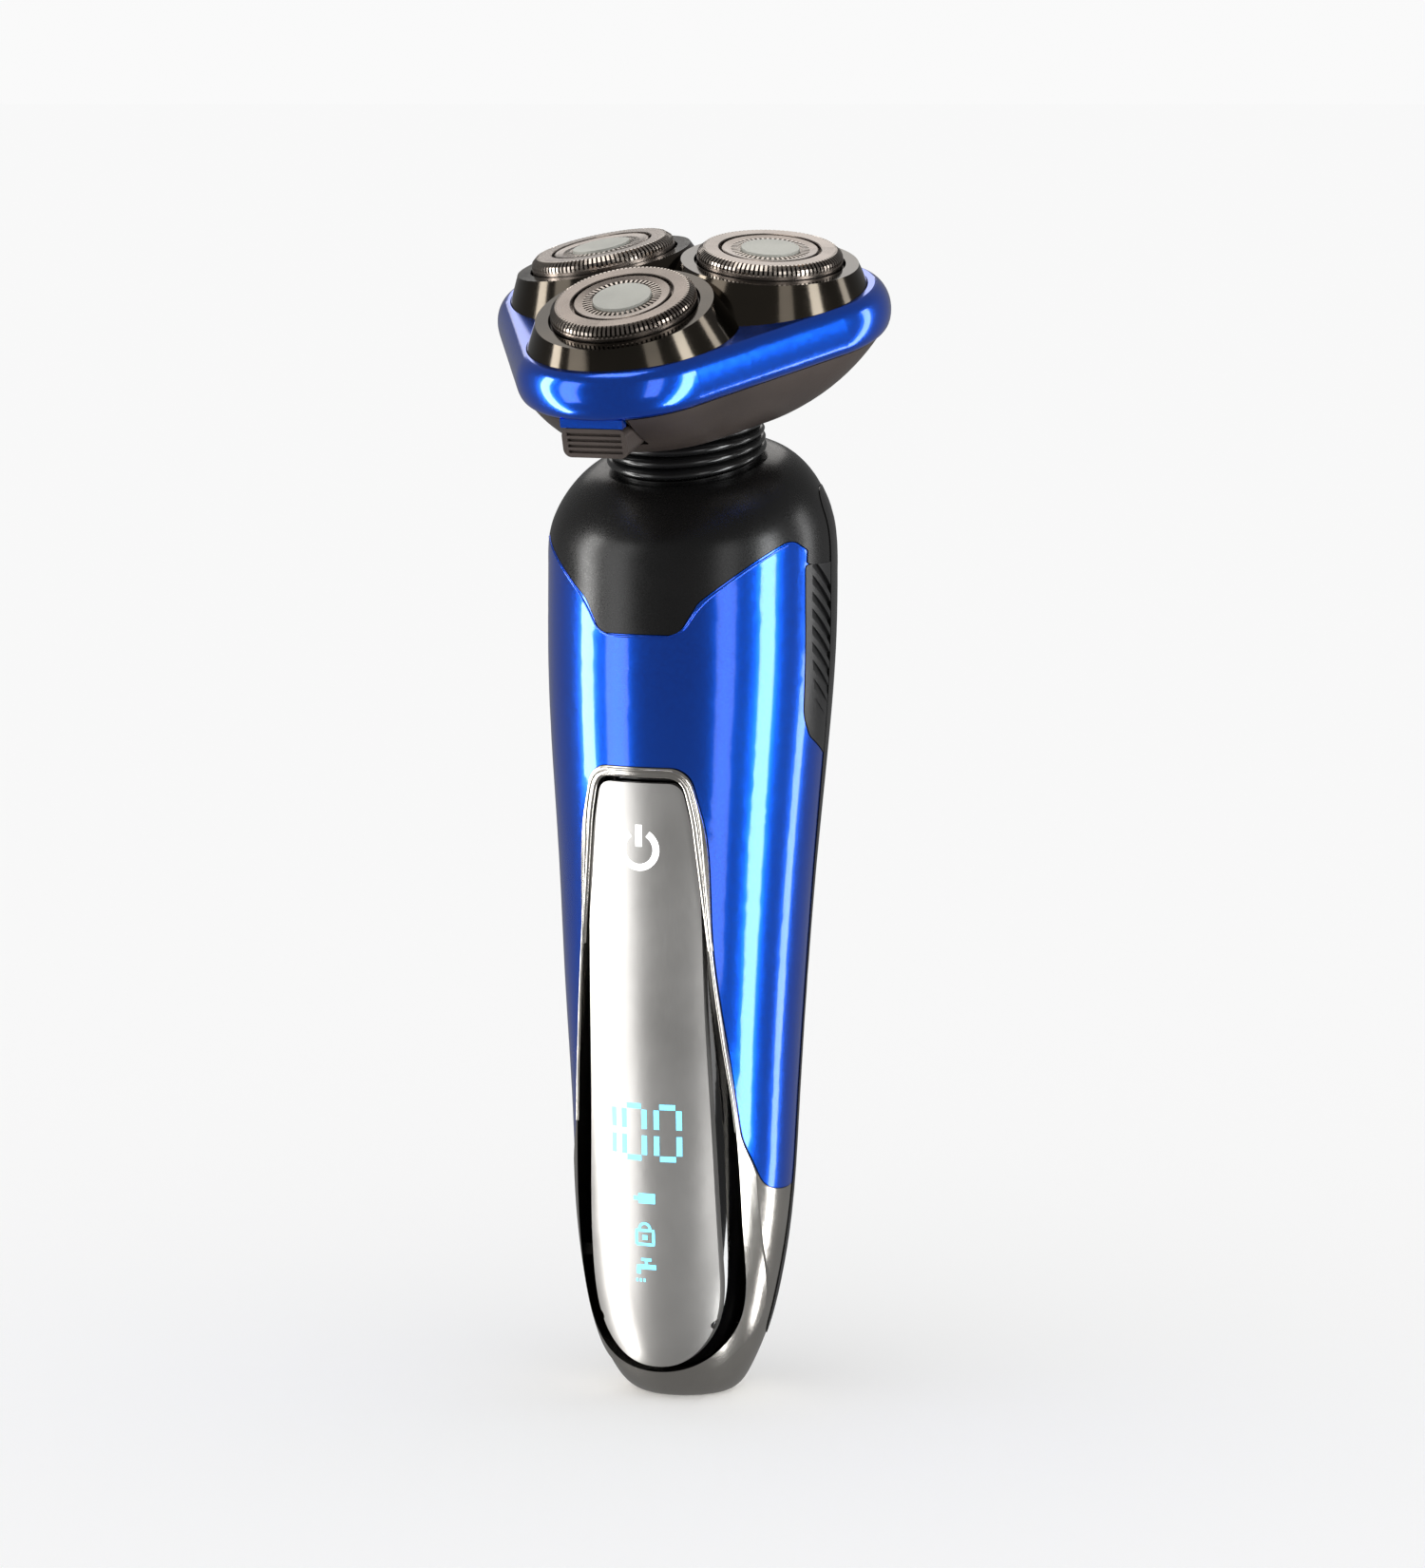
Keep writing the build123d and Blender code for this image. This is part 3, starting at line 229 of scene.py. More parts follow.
def buildGrain():
    # moulded or brushed surface: slow colour drift, fine grain, and smudges from handling
    tree, give, take = startGroup(
        "surfaceGrain",
        [
            ("Vector", "NodeSocketVector", (0, 0, 0)),
            ("Base", "NodeSocketColor", (0.5, 0.5, 0.5, 1)),
            ("Drift", "NodeSocketColor", (0.4, 0.4, 0.4, 1)),
            ("Drift Scale", "NodeSocketFloat", 60.0),
            ("Grain Scale", "NodeSocketFloat", 2500.0),
            ("Stretch", "NodeSocketVector", (1, 1, 1)),
            ("Rough Low", "NodeSocketFloat", 0.3),
            ("Rough High", "NodeSocketFloat", 0.4),
        ],
        [("Colour", "NodeSocketColor"), ("Roughness", "NodeSocketFloat"), ("Height", "NodeSocketFloat")],
    )
    place, stretch = give.outputs["Vector"], give.outputs["Stretch"]
    drift = noise(tree, place, give.outputs["Drift Scale"], driftDetail)
    grain = noise(tree, place, give.outputs["Grain Scale"], **grainSpread, stretch=stretch)
    smudge = noise(tree, place, **smudges)
    both = tree.nodes.new("ShaderNodeMath")
    both.operation = "MULTIPLY_ADD"
    both.inputs[1].default_value = roughShares["grain"]
    tree.links.new(grain, both.inputs[0])
    share = tree.nodes.new("ShaderNodeMath")
    share.operation = "MULTIPLY"
    share.inputs[1].default_value = roughShares["smudge"]
    tree.links.new(smudge, share.inputs[0])
    tree.links.new(share.outputs[0], both.inputs[2])
    colour = mixTone(tree, drift, give.outputs["Base"], give.outputs["Drift"])
    tree.links.new(colour, take.inputs["Colour"])
    rough = mapValue(tree, both.outputs[0], give.outputs["Rough Low"], give.outputs["Rough High"])
    tree.links.new(rough, take.inputs["Roughness"])
    tree.links.new(grain, take.inputs["Height"])
    return tree


def buildFlake():
    # metallic lacquer: fine flakes that vary the tone, under a slow drift
    tree, give, take = startGroup(
        "lacquerFlake",
        [
            ("Vector", "NodeSocketVector", (0, 0, 0)),
            ("Base", "NodeSocketColor", (0.1, 0.1, 0.5, 1)),
            ("Drift", "NodeSocketColor", (0.1, 0.1, 0.4, 1)),
            ("Flake Scale", "NodeSocketFloat", 4000.0),
            ("Rough Low", "NodeSocketFloat", 0.2),
            ("Rough High", "NodeSocketFloat", 0.3),
        ],
        [("Colour", "NodeSocketColor"), ("Roughness", "NodeSocketFloat"), ("Height", "NodeSocketFloat")],
    )
    cells = tree.nodes.new("ShaderNodeTexVoronoi")
    tree.links.new(give.outputs["Vector"], cells.inputs["Vector"])
    tree.links.new(give.outputs["Flake Scale"], cells.inputs["Scale"])
    flake = tree.nodes.new("ShaderNodeSeparateColor")
    tree.links.new(cells.outputs["Color"], flake.inputs["Color"])
    drift = noise(tree, give.outputs["Vector"], **flakeDrift)
    blend = tree.nodes.new("ShaderNodeMath")
    blend.operation = "MULTIPLY"
    tree.links.new(flake.outputs[0], blend.inputs[0])
    tree.links.new(drift, blend.inputs[1])
    colour = mixTone(tree, blend.outputs[0], give.outputs["Base"], give.outputs["Drift"])
    tree.links.new(colour, take.inputs["Colour"])
    rough = mapValue(tree, flake.outputs[1], give.outputs["Rough Low"], give.outputs["Rough High"])
    tree.links.new(rough, take.inputs["Roughness"])
    tree.links.new(flake.outputs[2], take.inputs["Height"])
    return tree


groups = {"grain": buildGrain(), "flake": buildFlake()}

# One entry per finish: base and drift are screen colours, rough is the range of roughness,
# shader holds the values that go straight onto the shader's own sockets.
finishes = {
    "blue_gloss": {
        "group": "flake", "base": (0, 84, 214), "drift": (0, 72, 196), "rough": (0.19, 0.26), "bump": 0.015,
        "scale": 5200, "shader": {"Metallic": 0.92, "Coat Weight": 0.9, "Coat Roughness": 0.08},
    },
    "black_satin": {
        "base": (7, 7, 7), "drift": (11, 10, 10), "rough": (0.24, 0.34), "bump": 0.05, "scale": 3200,
        "shader": {"Specular IOR Level": 0.38},
    },
    "black_rubber": {
        "base": (13, 13, 14), "drift": (20, 20, 20), "rough": (0.28, 0.42), "bump": 0.08, "scale": 2600,
        "shader": {},
    },
    "satin_silver": {
        "base": (200, 198, 195), "drift": (184, 182, 179), "rough": (0.30, 0.38), "bump": 0.04, "scale": 900,
        "stretch": (9, 9, 0.6), "shader": {"Metallic": 0.9},
    },
    "bright_chrome": {
        "base": (214, 210, 203), "drift": (196, 192, 186), "rough": (0.14, 0.22), "bump": 0.02, "scale": 1200,
        "stretch": (6, 6, 1), "shader": {"Metallic": 1.0},
    },
    "gloss_black": {
        "base": (3, 3, 4), "drift": (6, 6, 8), "rough": (0.06, 0.13), "bump": 0.01, "scale": 1800,
        "shader": {"Coat Weight": 1.0, "Coat Roughness": 0.02},
    },
    "gunmetal": {
        "base": (74, 68, 60), "drift": (60, 56, 50), "rough": (0.09, 0.15), "bump": 0.02, "scale": 1500,
        "stretch": (1, 1, 7), "shader": {"Metallic": 1.0},
    },
    "smoke_plastic": {
        "base": (70, 62, 58), "drift": (58, 51, 48), "rough": (0.30, 0.42), "bump": 0.05, "scale": 3000,
        "shader": {"Metallic": 0.45},
    },
    "cap_steel": {
        "base": (150, 139, 131), "drift": (122, 113, 106), "rough": (0.20, 0.34), "bump": 0.06, "scale": 1600,
        "stretch": (1, 1, 5), "shader": {"Metallic": 1.0},
    },
    "disc_grey": {
        "base": (170, 170, 163), "drift": (146, 146, 140), "rough": (0.50, 0.68), "bump": 0.14, "scale": 3000,
        "shader": {"Metallic": 0.25},
    },
    "steel_pin": {
        "base": (190, 188, 184), "drift": (166, 163, 160), "rough": (0.18, 0.30), "bump": 0.03, "scale": 2200,
        "shader": {"Metallic": 1.0},
    },
    "gear_plastic": {
        "base": (226, 222, 208), "drift": (212, 207, 192), "rough": (0.36, 0.50), "bump": 0.05, "scale": 2400,
        "shader": {"Subsurface Weight": 0.05},
    },
    "cell_wrap": {
        "base": (24, 92, 58), "drift": (18, 76, 50), "rough": (0.22, 0.36), "bump": 0.04, "scale": 700,
        "stretch": (1, 1, 4), "shader": {"Coat Weight": 0.4},
    },
    "nickel_tab": {
        "base": (206, 200, 184), "drift": (182, 176, 160), "rough": (0.22, 0.34), "bump": 0.05, "scale": 2600,
        "stretch": (8, 1, 1), "shader": {"Metallic": 1.0},
    },
    "board_green": {
        "base": (14, 92, 48), "drift": (26, 118, 62), "rough": (0.28, 0.44), "bump": 0.15, "scale": 600,
        "stretch": (1, 1, 6), "shader": {"Coat Weight": 0.3},
    },
    "display_glass": {
        "base": (20, 24, 28), "drift": (30, 36, 42), "rough": (0.05, 0.12), "bump": 0.01, "scale": 1500,
        "shader": {"Coat Weight": 1.0},
    },
    "black_inner": {
        "base": (34, 34, 35), "drift": (44, 44, 44), "rough": (0.42, 0.56), "bump": 0.08, "scale": 2800,
        "shader": {},
    },
    "motor_steel": {
        "base": (168, 168, 170), "drift": (146, 146, 150), "rough": (0.20, 0.34), "bump": 0.05, "scale": 1500,
        "stretch": (1, 1, 8), "shader": {"Metallic": 1.0},
    },
}
glowTone, glowStrength = (112, 208, 240), 0.95


def makeFinish(name, spec, pattern="Object"):
    material = bpy.data.materials.new(name + "Finish")
    material.use_nodes = True
    tree = material.node_tree
    shader = tree.nodes["Principled BSDF"]
    for socket, value in spec["shader"].items():
        shader.inputs[socket].default_value = value
    kind = spec.get("group", "grain")
    group = tree.nodes.new("ShaderNodeGroup")
    group.node_tree = groups[kind]
    group.inputs["Base"].default_value = tone(*spec["base"])
    group.inputs["Drift"].default_value = tone(*spec["drift"])
    group.inputs["Rough Low"].default_value, group.inputs["Rough High"].default_value = spec["rough"]
    group.inputs["Flake Scale" if kind == "flake" else "Grain Scale"].default_value = spec["scale"]
    if kind == "grain":
        group.inputs["Stretch"].default_value = spec.get("stretch", (1, 1, 1))
    if pattern == "Object":
        place = tree.nodes.new("ShaderNodeTexCoord").outputs["Object"]
    else:
        uv = tree.nodes.new("ShaderNodeUVMap")
        uv.uv_map = pattern
        place = uv.outputs["UV"]
    tree.links.new(place, group.inputs["Vector"])
    tree.links.new(group.outputs["Colour"], shader.inputs["Base Color"])
    tree.links.new(group.outputs["Roughness"], shader.inputs["Roughness"])
    bump = tree.nodes.new("ShaderNodeBump")
    bump.inputs["Strength"].default_value = spec["bump"]
    bump.inputs["Distance"].default_value = bumpDistance * mm
    tree.links.new(group.outputs["Height"], bump.inputs["Height"])
    tree.links.new(bump.outputs["Normal"], shader.inputs["Normal"])
    return material


materials = {name: makeFinish(name, spec) for name, spec in finishes.items()}
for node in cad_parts.values():
    slotName = node.data.materials[0].name.split(".")[0]
    for place in range(len(node.data.materials)):
        node.data.materials[place] = materials[slotName]
print("finishes made:", len(materials))

# ---- the head's own frame: its origin is the middle of the neck's rim
neckFrame = {"shift": 1.3, "rise": 137.9, "tilt": 16.0}
tilt = radians(neckFrame["tilt"])
neckMiddle = Vector((0, neckFrame["shift"], neckFrame["rise"])) * mm
neck = Matrix.Translation(neckMiddle) @ Matrix.Rotation(tilt, 4, "X")
lobes = {"front": -90.0, "right": 30.0, "left": 150.0}
capPlace = {"reach": 15.5, "height": 30.0, "lean": 8.0}


def capMatrix(angle):
    turn = Matrix.Rotation(radians(angle), 4, "Z")
    out = Matrix.Translation(Vector((capPlace["reach"], 0, capPlace["height"])) * mm)
    return neck @ turn @ out @ Matrix.Rotation(radians(capPlace["lean"]), 4, "Y")


def addPiece(name, mesh, body, slotName, material=None):
    piece = bpy.data.objects.new(name, mesh)
    bpy.context.scene.collection.objects.link(piece)
    if not mesh.materials:
        mesh.materials.append(material or materials[slotName])
    if body:
        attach(piece, body)
    return piece


turnedLength = 0.06  # metres of pattern round one turn
turnedCrease, foldCrease = 35, 60  # degrees above which an edge stays sharp


def lathe(profile, segments, place, closed=True):
    # turns a profile of (radius, height) in mm round the z of place
    # the uv map "turned" runs round it and along the profile
    shape = bmesh.new()
    uv = shape.loops.layers.uv.new("turned")
    rings = []
    for segment in range(segments):
        a = 2 * pi * segment / segments
        rings.append([shape.verts.new(Vector((r * cos(a), r * sin(a), h)) * mm) for r, h in profile])
    count = len(profile)
    along = [0.0]
    for i in range(count):
        along.append(along[-1] + (Vector(profile[(i + 1) % count]) - Vector(profile[i])).length * mm)
    for segment in range(segments):
        nextRing = rings[(segment + 1) % segments]
        for i in range(count if closed else count - 1):
            j = (i + 1) % count
            face = shape.faces.new((rings[segment][i], nextRing[i], nextRing[j], rings[segment][j]))
            u0, u1 = (u * turnedLength / segments for u in (segment, segment + 1))
            v0, v1 = along[i], along[i + 1]
            for loop, spot in zip(face.loops, ((u0, v0), (u1, v0), (u1, v1), (u0, v1))):
                loop[uv].uv = spot
    bmesh.ops.recalc_face_normals(shape, faces=shape.faces)
    shape.transform(place)
    mesh = bpy.data.meshes.new("lathe")
    shape.to_mesh(mesh)
    shape.free()
    mesh.shade_smooth()
    mesh.set_sharp_from_angle(angle=radians(turnedCrease))
    return mesh


# ---- geometry nodes: copies of one part turned about an axis, and a bead along a path
def buildRoundCopies():
    tree = bpy.data.node_groups.new("roundCopies", "GeometryNodeTree")
    tree.interface.new_socket("Geometry", in_out="INPUT", socket_type="NodeSocketGeometry")
    tree.interface.new_socket("Copies", in_out="INPUT", socket_type="NodeSocketInt")
    tree.interface.new_socket("Finish", in_out="INPUT", socket_type="NodeSocketMaterial")
    tree.interface.new_socket("Geometry", in_out="OUTPUT", socket_type="NodeSocketGeometry")
    nodes, link = tree.nodes, tree.links.new
    give, take = nodes.new("NodeGroupInput"), nodes.new("NodeGroupOutput")
    line = nodes.new("GeometryNodeMeshLine")
    line.inputs["Offset"].default_value = (0, 0, 0)
    index = nodes.new("GeometryNodeInputIndex")
    step = nodes.new("ShaderNodeMath")
    step.operation = "DIVIDE"
    step.inputs[0].default_value = 2 * pi
    turn = nodes.new("ShaderNodeMath")
    turn.operation = "MULTIPLY"
    angles = nodes.new("ShaderNodeCombineXYZ")
    copies = nodes.new("GeometryNodeInstanceOnPoints")
    real = nodes.new("GeometryNodeRealizeInstances")
    finish = nodes.new("GeometryNodeSetMaterial")
    link(give.outputs["Copies"], line.inputs["Count"])
    link(give.outputs["Copies"], step.inputs[1])
    link(index.outputs[0], turn.inputs[0])
    link(step.outputs[0], turn.inputs[1])
    link(turn.outputs[0], angles.inputs["Z"])
    link(line.outputs[0], copies.inputs["Points"])
    link(give.outputs["Geometry"], copies.inputs["Instance"])
    link(angles.outputs[0], copies.inputs["Rotation"])
    link(copies.outputs[0], real.inputs[0])
    link(real.outputs[0], finish.inputs["Geometry"])
    link(give.outputs["Finish"], finish.inputs["Material"])
    link(finish.outputs[0], take.inputs[0])
    return tree


def buildBead():
    tree = bpy.data.node_groups.new("pathBead", "GeometryNodeTree")
    tree.interface.new_socket("Geometry", in_out="INPUT", socket_type="NodeSocketGeometry")
    tree.interface.new_socket("Radius", in_out="INPUT", socket_type="NodeSocketFloat")
    tree.interface.new_socket("Finish", in_out="INPUT", socket_type="NodeSocketMaterial")
    tree.interface.new_socket("Geometry", in_out="OUTPUT", socket_type="NodeSocketGeometry")
    nodes, link = tree.nodes, tree.links.new
    give, take = nodes.new("NodeGroupInput"), nodes.new("NodeGroupOutput")
    route = nodes.new("GeometryNodeMeshToCurve")
    section = nodes.new("GeometryNodeCurvePrimitiveCircle")
    section.inputs["Resolution"].default_value = 10
    sweep = nodes.new("GeometryNodeCurveToMesh")
    sweep.inputs["Fill Caps"].default_value = True
    real = nodes.new("GeometryNodeRealizeInstances")
    smooth = nodes.new("GeometryNodeSetShadeSmooth")
    finish = nodes.new("GeometryNodeSetMaterial")
    link(give.outputs["Geometry"], route.inputs[0])
    link(give.outputs["Radius"], section.inputs["Radius"])
    link(route.outputs[0], sweep.inputs["Curve"])
    link(section.outputs[0], sweep.inputs["Profile Curve"])
    link(sweep.outputs[0], real.inputs[0])
    link(real.outputs[0], smooth.inputs[0])
    link(smooth.outputs[0], finish.inputs["Geometry"])
    link(give.outputs["Finish"], finish.inputs["Material"])
    link(finish.outputs[0], take.inputs[0])
    return tree


trees = {"roundCopies": buildRoundCopies(), "pathBead": buildBead()}


def grown(mesh, treeName, place=None, **values):
    # runs a geometry nodes tree on a mesh and returns the finished plain mesh
    source = bpy.data.objects.new("source", mesh)
    bpy.context.scene.collection.objects.link(source)
    modifier = source.modifiers.new("grow", "NODES")
    modifier.node_group = trees[treeName]
    for item in trees[treeName].interface.items_tree:
        if item.in_out == "INPUT" and item.name in values:
            modifier[item.identifier] = values[item.name]
    shown = source.evaluated_get(bpy.context.evaluated_depsgraph_get())
    result = bpy.data.meshes.new_from_object(shown)
    bpy.data.objects.remove(source)
    if place is not None:
        result.transform(place)
    return result


def barMesh(profile, width):
    # one bar of a slotted ring: its profile (radius, height) given a thickness across
    shape = bmesh.new()
    sides = []
    for y in (-width / 2, width / 2):
        sides.append([shape.verts.new(Vector((r, y, h)) * mm) for r, h in profile])
    shape.faces.new(sides[0])
    shape.faces.new(reversed(sides[1]))
    for i in range(len(profile)):
        j = (i + 1) % len(profile)
        shape.faces.new((sides[0][j], sides[0][i], sides[1][i], sides[1][j]))
    bmesh.ops.recalc_face_normals(shape, faces=shape.faces)
    mesh = bpy.data.meshes.new("bar")
    shape.to_mesh(mesh)
    shape.free()
    return mesh


def joined(meshes):
    shape = bmesh.new()
    for mesh in meshes:
        shape.from_mesh(mesh)
    result = bpy.data.meshes.new("joined")
    shape.to_mesh(result)
    shape.free()
    return result


# ---- shaving caps: a lathe-turned cap whose rim and inner ring are cut into fine slots
capShape = {
    "annulus": [
        (7.42, -0.10), (7.55, 0.0), (9.42, 0.0), (9.42, -0.4), (7.85, -0.4), (7.85, -1.2), (6.65, -1.2),
        (6.65, -0.55), (5.7, -0.55), (5.7, -0.2), (6.85, -0.06), (7.0, -0.16), (7.05, -0.85), (7.36, -0.85),
    ],
    "rim": [(10.42, -1.3), (10.6, -1.5), (10.6, -2.6), (10.15, -2.6), (10.15, -1.3)],
    "outerBar": [
        (9.38, 0.0), (9.72, -0.03), (10.4, -0.62), (10.56, -1.0), (10.56, -1.5), (10.2, -1.5), (10.1, -0.9),
        (9.6, -0.42), (9.38, -0.42),
    ],
    "outerBars": 96, "outerWidth": 0.37,
    "innerBar": [(4.3, -0.26), (4.8, -0.14), (5.74, -0.18), (5.74, -0.5), (4.3, -0.4)],
    "innerBars": 46, "innerWidth": 0.34,
    "segments": 128,
}
turnedSteel = makeFinish("turnedSteel", {**finishes["cap_steel"], "stretch": (1, 26, 1), "scale": 500}, "turned")
# The slot bars get a lighter copy of the cap steel's colour: a painted highlight that makes them read as bright
# teeth.
paintedBrightSlotSteel = makeFinish("paintedBrightSlotSteel", {**finishes["cap_steel"], "base": (200, 190, 180), "rough": (0.16, 0.26)})


def addCap(name, angle):
    place = capMatrix(angle)
    turned = joined([lathe(capShape[part], capShape["segments"], place) for part in ("annulus", "rim")])
    turned.materials.append(turnedSteel)
    turned.shade_smooth()
    turned.set_sharp_from_angle(angle=radians(turnedCrease))
    cap = addPiece("cap_ring_" + name, turned, "cap_" + name, "cap_steel")
    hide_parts("shaving_cap_" + name)
    outer = barMesh(capShape["outerBar"], capShape["outerWidth"])
    inner = barMesh(capShape["innerBar"], capShape["innerWidth"])
    rings = [
        grown(outer, "roundCopies", place, Copies=capShape["outerBars"], Finish=paintedBrightSlotSteel),
        grown(inner, "roundCopies", place, Copies=capShape["innerBars"], Finish=paintedBrightSlotSteel),
    ]
    slots = joined(rings)
    slots.materials.append(paintedBrightSlotSteel)
    bars = addPiece("cap_slots_" + name, slots, "cap_" + name, "cap_steel")
    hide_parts("shaving_cap_" + name)


for lobeName, lobeAngle in lobes.items():
    addCap(lobeName, lobeAngle)
print("shaving caps made")

# ---- bellows: round folds, in two halves
bellows = {
    "floor": 0.45, "top": 6.15, "lean": 8.0, "folds": 4, "valley": 10.25, "ridge": 11.75, "wall": 0.5,
    "steps": 12, "segments": 96, "fullness": 0.55, "held": (0.5, 6.1), "apart": 0.1,
}


def bellowsHalf(start, end):
    segments = bellows["segments"]
    shape = bmesh.new()
    steps = int(round((end - start) * bellows["folds"] * bellows["steps"]))
    rows = []
    for wall in (0.0, bellows["wall"]):
        for step in range(steps + 1):
            share = start + (end - start) * step / steps
            fold = abs(sin(pi * share * bellows["folds"])) ** bellows["fullness"]
            radius = bellows["valley"] + (bellows["ridge"] - bellows["valley"]) * fold - wall
            height = bellows["floor"] + share * (bellows["top"] - bellows["floor"])
            lean = Matrix.Rotation(-radians(bellows["lean"]) * share, 4, "X")
            ring = []
            for segment in range(segments):
                a = 2 * pi * segment / segments
                point = lean @ Vector((radius * cos(a), radius * sin(a), 0)) + Vector((0, 0, height))
                ring.append(shape.verts.new(point * mm))
            rows.append(ring)
    order = rows[: steps + 1] + list(reversed(rows[steps + 1:]))
    for i in range(len(order)):
        low, high = order[i], order[(i + 1) % len(order)]
        for segment in range(segments):
            after = (segment + 1) % segments
            shape.faces.new((low[segment], low[after], high[after], high[segment]))
    bmesh.ops.recalc_face_normals(shape, faces=shape.faces)
    shape.transform(neck)
    mesh = bpy.data.meshes.new("bellows")
    shape.to_mesh(mesh)
    shape.free()
    mesh.shade_smooth()
    mesh.set_sharp_from_angle(angle=radians(foldCrease))
    return mesh


bellowsRubber = makeFinish("bellowsRubber", {**finishes["black_rubber"], "rough": (0.16, 0.26), "bump": 0.03})
middleHeight = (bellows["floor"] + bellows["top"]) / 2
lowerHeights = (bellows["held"][0], middleHeight - bellows["apart"])
upperHeights = (middleHeight + bellows["apart"], bellows["held"][1])
for label, start, end, bodies, heights in (
    ("neck_bellows_lower", 0.0, 0.5, ("handle", "gimbal"), lowerHeights),
    ("neck_bellows_upper", 0.5, 1.0, ("gimbal", "head_base"), upperHeights),
):
    half = addPiece(label, bellowsHalf(start, end), None, "black_rubber", bellowsRubber)
    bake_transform(half)
    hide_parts("neck_bellows")
print("bellows made")


# ---- springs: copies of the plain springs, which sit between the two pieces they press apart
springs = {
    "gearReach": 15.0, "foot": 17.45, "head": 20.25,
    "latch": {"height": 17.5, "seat": -21.0, "bar": -26.75},
}


def addSpring(nodeName, bodies, start, end):
    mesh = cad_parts[nodeName].data.copy()
    coil = addPiece(nodeName.replace("spring", "coil"), mesh, None, "steel_pin")
    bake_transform(coil)
    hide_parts(nodeName)


for lobeName, lobeAngle in lobes.items():
    x, y = (springs["gearReach"] * part(radians(lobeAngle)) for part in (cos, sin))
    ends = (x, y, springs["foot"]), (x, y, springs["head"])
    addSpring("spindle_spring_" + lobeName, ("gear_" + lobeName, "driver_" + lobeName), *ends)
latch = springs["latch"]
ends = (0, latch["seat"], latch["height"]), (0, latch["bar"], latch["height"])
addSpring("release_spring", ("head_base", "latch_button"), *ends)
print("springs made")


# ---- marks on the panel: power sign, charge figures and three small signs
def surfaceOf(*nodeNames):
    shape = bmesh.new()
    for name in nodeNames:
        shape.from_mesh(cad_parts[name].data)
    tree = BVHTree.FromBMesh(shape)
    shape.free()
    return tree


def frontPoint(tree, x, z, proud=0.0):
    # the outer surface seen from the front at x, z (mm), moved out by proud
    hit = tree.ray_cast(Vector((x, -60, z)) * mm, Vector((0, 1, 0)))
    if hit[0] is None:
        return None
    normal = hit[1] if hit[1].y < 0 else -hit[1]
    return hit[0] + normal * proud * mm


markDepth = {"proud": 0.035, "sunk": -0.06, "spacing": 0.35}


def strokeMesh(shape, tree, points, width):
    # one stroke of a mark, following the panel's curve, as a closed thin slab
    spots = []
    for first, second in zip(points, points[1:]):
        a, b = Vector(first), Vector(second)
        count = max(1, int((b - a).length / markDepth["spacing"]))
        spots += [a.lerp(b, i / count) for i in range(count)]
    spots.append(Vector(points[-1]))
    rows = []
    for i, spot in enumerate(spots):
        along = (spots[min(i + 1, len(spots) - 1)] - spots[max(i - 1, 0)]).normalized()
        across = Vector((-along.y, along.x)) * width / 2
        lanes = max(1, int(width / markDepth["spacing"]))
        row = []
        for depth in ("proud", "sunk"):
            for lane in range(lanes + 1):
                side = spot + across * (1 - 2 * lane / lanes)
                row.append(shape.verts.new(frontPoint(tree, side.x, side.y, markDepth[depth])))
        half = lanes + 1
        rows.append(row[:half] + list(reversed(row[half:])))
    for low, high in zip(rows, rows[1:]):
        for i in range(len(low)):
            j = (i + 1) % len(low)
            shape.faces.new((low[i], low[j], high[j], high[i]))
    shape.faces.new(rows[0])
    shape.faces.new(list(reversed(rows[-1])))


def arcPoints(x, z, radius, start, end, count=24):
    spots = [radians(start + (end - start) * i / count) for i in range(count + 1)]
    return [(x + radius * cos(a), z + radius * sin(a)) for a in spots]


digit = {"width": 3.3, "height": 7.7, "stroke": 0.8, "gap": 0.5, "foot": 37.0}
segmentsOf = {"0": "abcdef", "1": "bc"}


def digitStrokes(character, middle):
    w, h, g, foot = digit["width"] / 2, digit["height"], digit["gap"], digit["foot"]
    lines = {
        "a": ((-w + g, h), (w - g, h)), "b": ((w, h - g), (w, h / 2 + g)),
        "c": ((w, h / 2 - g), (w, g)), "d": ((-w + g, 0), (w - g, 0)),
        "e": ((-w, h / 2 - g), (-w, g)), "f": ((-w, h - g), (-w, h / 2 + g)),
    }
    return [([(middle + x, foot + z) for x, z in lines[s]], digit["stroke"]) for s in segmentsOf[character]]


marks = {
    "power_sign": [(arcPoints(0, 82.6, 2.65, 122, 418), 1.0), ([(0, 83.0), (0, 86.2)], 1.0)],
    "charge_figures": digitStrokes("1", -6.6) + digitStrokes("0", -1.5) + digitStrokes("0", 3.7),
    "charge_sign": [([(-0.9, 31.0), (1.7, 31.0)], 1.5), ([(-1.7, 31.0), (-0.95, 31.0)], 0.6)],
    "lock_sign": [
        ([(-1.35, 24.1), (-1.35, 26.2), (1.35, 26.2), (1.35, 24.1), (-1.35, 24.1)], 0.42),
        (arcPoints(0, 26.4, 0.85, 0, 180, 12), 0.38),
        ([(-0.4, 25.15), (0.4, 25.15)], 0.7),
    ],
    "rinse_sign": [
        ([(-1.2, 19.6), (-1.2, 20.7), (1.6, 20.7)], 0.7),
        ([(0.1, 20.9), (0.1, 21.7)], 0.45), ([(-0.7, 21.8), (0.9, 21.8)], 0.42),
    ] + [([(drop, 18.9), (drop, 18.4)], 0.3) for drop in (-1.5, -0.9, -0.3)],
}


def glowFinish(name, colour, strength):
    spec = {"base": colour, "drift": colour, "rough": (0.3, 0.4), "bump": 0.02, "scale": 1500, "shader": {}}
    material = makeFinish(name, spec)
    shader = material.node_tree.nodes["Principled BSDF"]
    shader.inputs["Emission Color"].default_value = tone(*colour)
    shader.inputs["Emission Strength"].default_value = strength
    return material


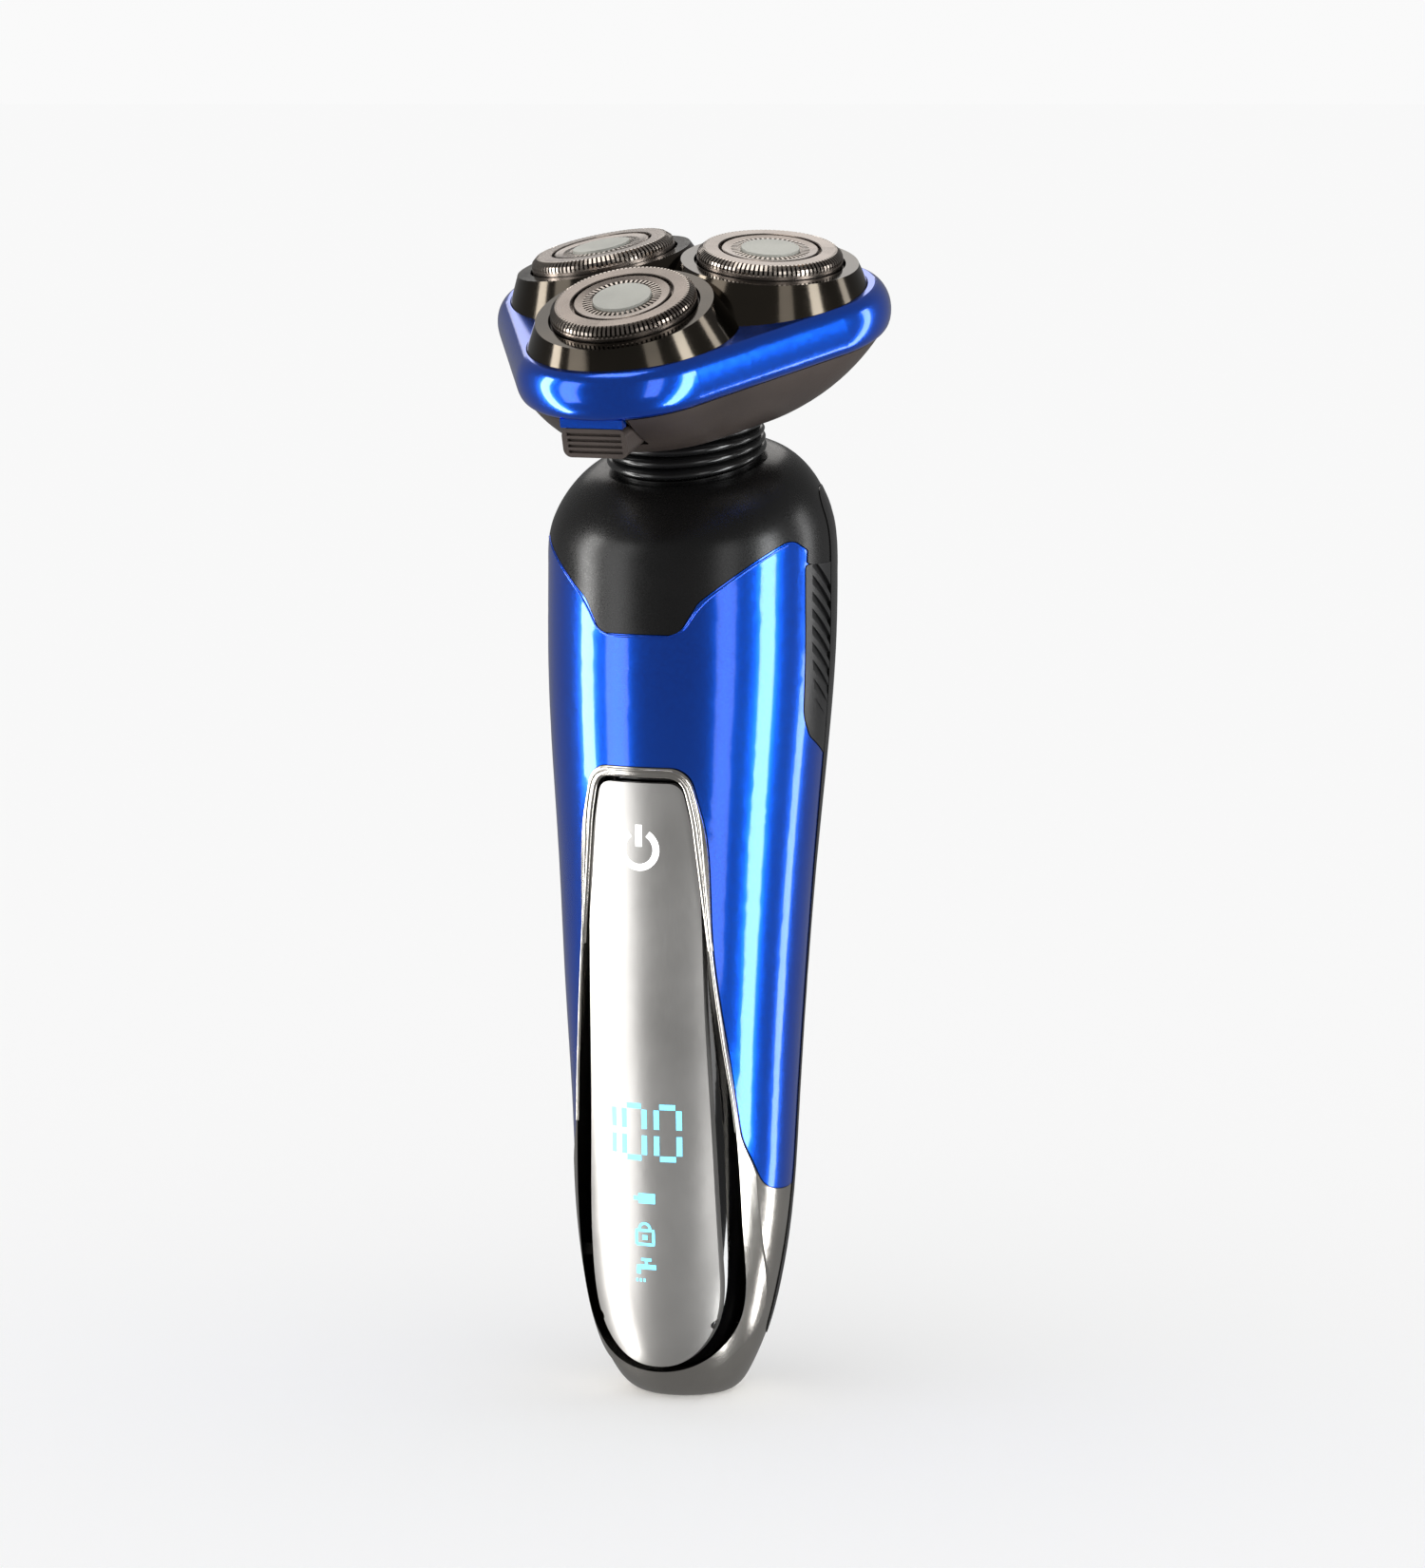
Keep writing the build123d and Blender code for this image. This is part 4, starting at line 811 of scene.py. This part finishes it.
panelSurface = surfaceOf("front_panel")
litFinish = glowFinish("litDisplay", glowTone, glowStrength)
# The power sign is white print given a glow of its own: a painted glow, since the print is no lamp.
paintedGlowPrintFinish = glowFinish("whitePrintPaintedGlow", (250, 250, 250), 0.5)
for markName, strokes in marks.items():
    shape = bmesh.new()
    for points, width in strokes:
        strokeMesh(shape, panelSurface, points, width)
    bmesh.ops.recalc_face_normals(shape, faces=shape.faces)
    mesh = bpy.data.meshes.new(markName)
    shape.to_mesh(mesh)
    shape.free()
    # the power sign takes the print with the painted glow, the other marks the lit display
    markFinish = paintedGlowPrintFinish if markName == "power_sign" else litFinish
    addPiece(markName, mesh, "panel_rocker", "display_glass", markFinish)
print("panel marks made")


# ---- beads that catch the light along the shell's cut edges
cornerShare = 0.45  # of a leg, the most that a rounded corner may take


def rounded(points, radius, steps=6):
    # rounds the corners of an open path in the front view
    result = [Vector(points[0])]
    for before, corner, after in zip(points, points[1:], points[2:]):
        b, c, a = Vector(before), Vector(corner), Vector(after)
        reach = min(radius, (b - c).length * cornerShare, (a - c).length * cornerShare)
        start, end = c + (b - c).normalized() * reach, c + (a - c).normalized() * reach
        for i in range(steps + 1):
            t = i / steps
            result.append(start.lerp(c, t).lerp(c.lerp(end, t), t))
    return result + [Vector(points[-1])]


def edgeBead(name, path, tree, radius, slotName, sink=0.0, spacing=0.5):
    spots = []
    for first, second in zip(path, path[1:]):
        count = max(1, int((second - first).length / spacing))
        spots += [first.lerp(second, i / count) for i in range(count)]
    spots.append(path[-1])
    placed = [frontPoint(tree, p.x, p.y, -sink) for p in spots]
    placed = [p for p in placed if p is not None]
    line = bpy.data.meshes.new("line")
    line.from_pydata(placed, [(i, i + 1) for i in range(len(placed) - 1)], [])
    mesh = grown(line, "pathBead", Radius=radius * mm, Finish=materials[slotName])
    return addPiece(name, mesh, "handle", slotName)


beads = {
    "vEdge": [(-18.9, 126.5), (-9.05, 118.2), (-6.3, 113.5), (6.3, 113.5), (9.05, 118.2), (18.9, 126.5)],
    "archEdge": [
        (-12.75, 41.0), (-12.3, 47), (-11.75, 52.0), (-10.85, 61), (-9.95, 71.0), (-9.4, 80),
        (-8.95, 87.5), (-7.35, 94.2), (7.35, 94.2), (8.95, 87.5), (9.4, 80), (9.95, 71.0),
        (10.85, 61), (11.75, 52.0), (12.3, 47), (12.75, 41.0),
    ],
    "innerLip": [
        (-10.25, 68), (-9.25, 78), (-8.35, 87), (-6.95, 93.55), (6.95, 93.55), (8.35, 87), (9.25, 78),
        (10.25, 68),
    ],
    "vRadius": 0.2, "archRadius": 0.24, "lipRadius": 0.45, "sink": 0.05, "lipSink": 0.35,
    "round": 3.2, "lipRound": 2.6,
}
vPath, archPath = (rounded(beads[edge], beads["round"]) for edge in ("vEdge", "archEdge"))
lipPath = rounded(beads["innerLip"], beads["lipRound"])
shellSurface, trimSurface = surfaceOf("front_shell"), surfaceOf("trim_frame")
edgeBead("shell_edge_bead", vPath, shellSurface, beads["vRadius"], "blue_gloss", beads["sink"])
edgeBead("trim_edge_bead", archPath, trimSurface, beads["archRadius"], "bright_chrome", beads["sink"])
edgeBead("trim_lip_bead", lipPath, trimSurface, beads["lipRadius"], "bright_chrome", beads["lipSink"])
print("edge beads made")
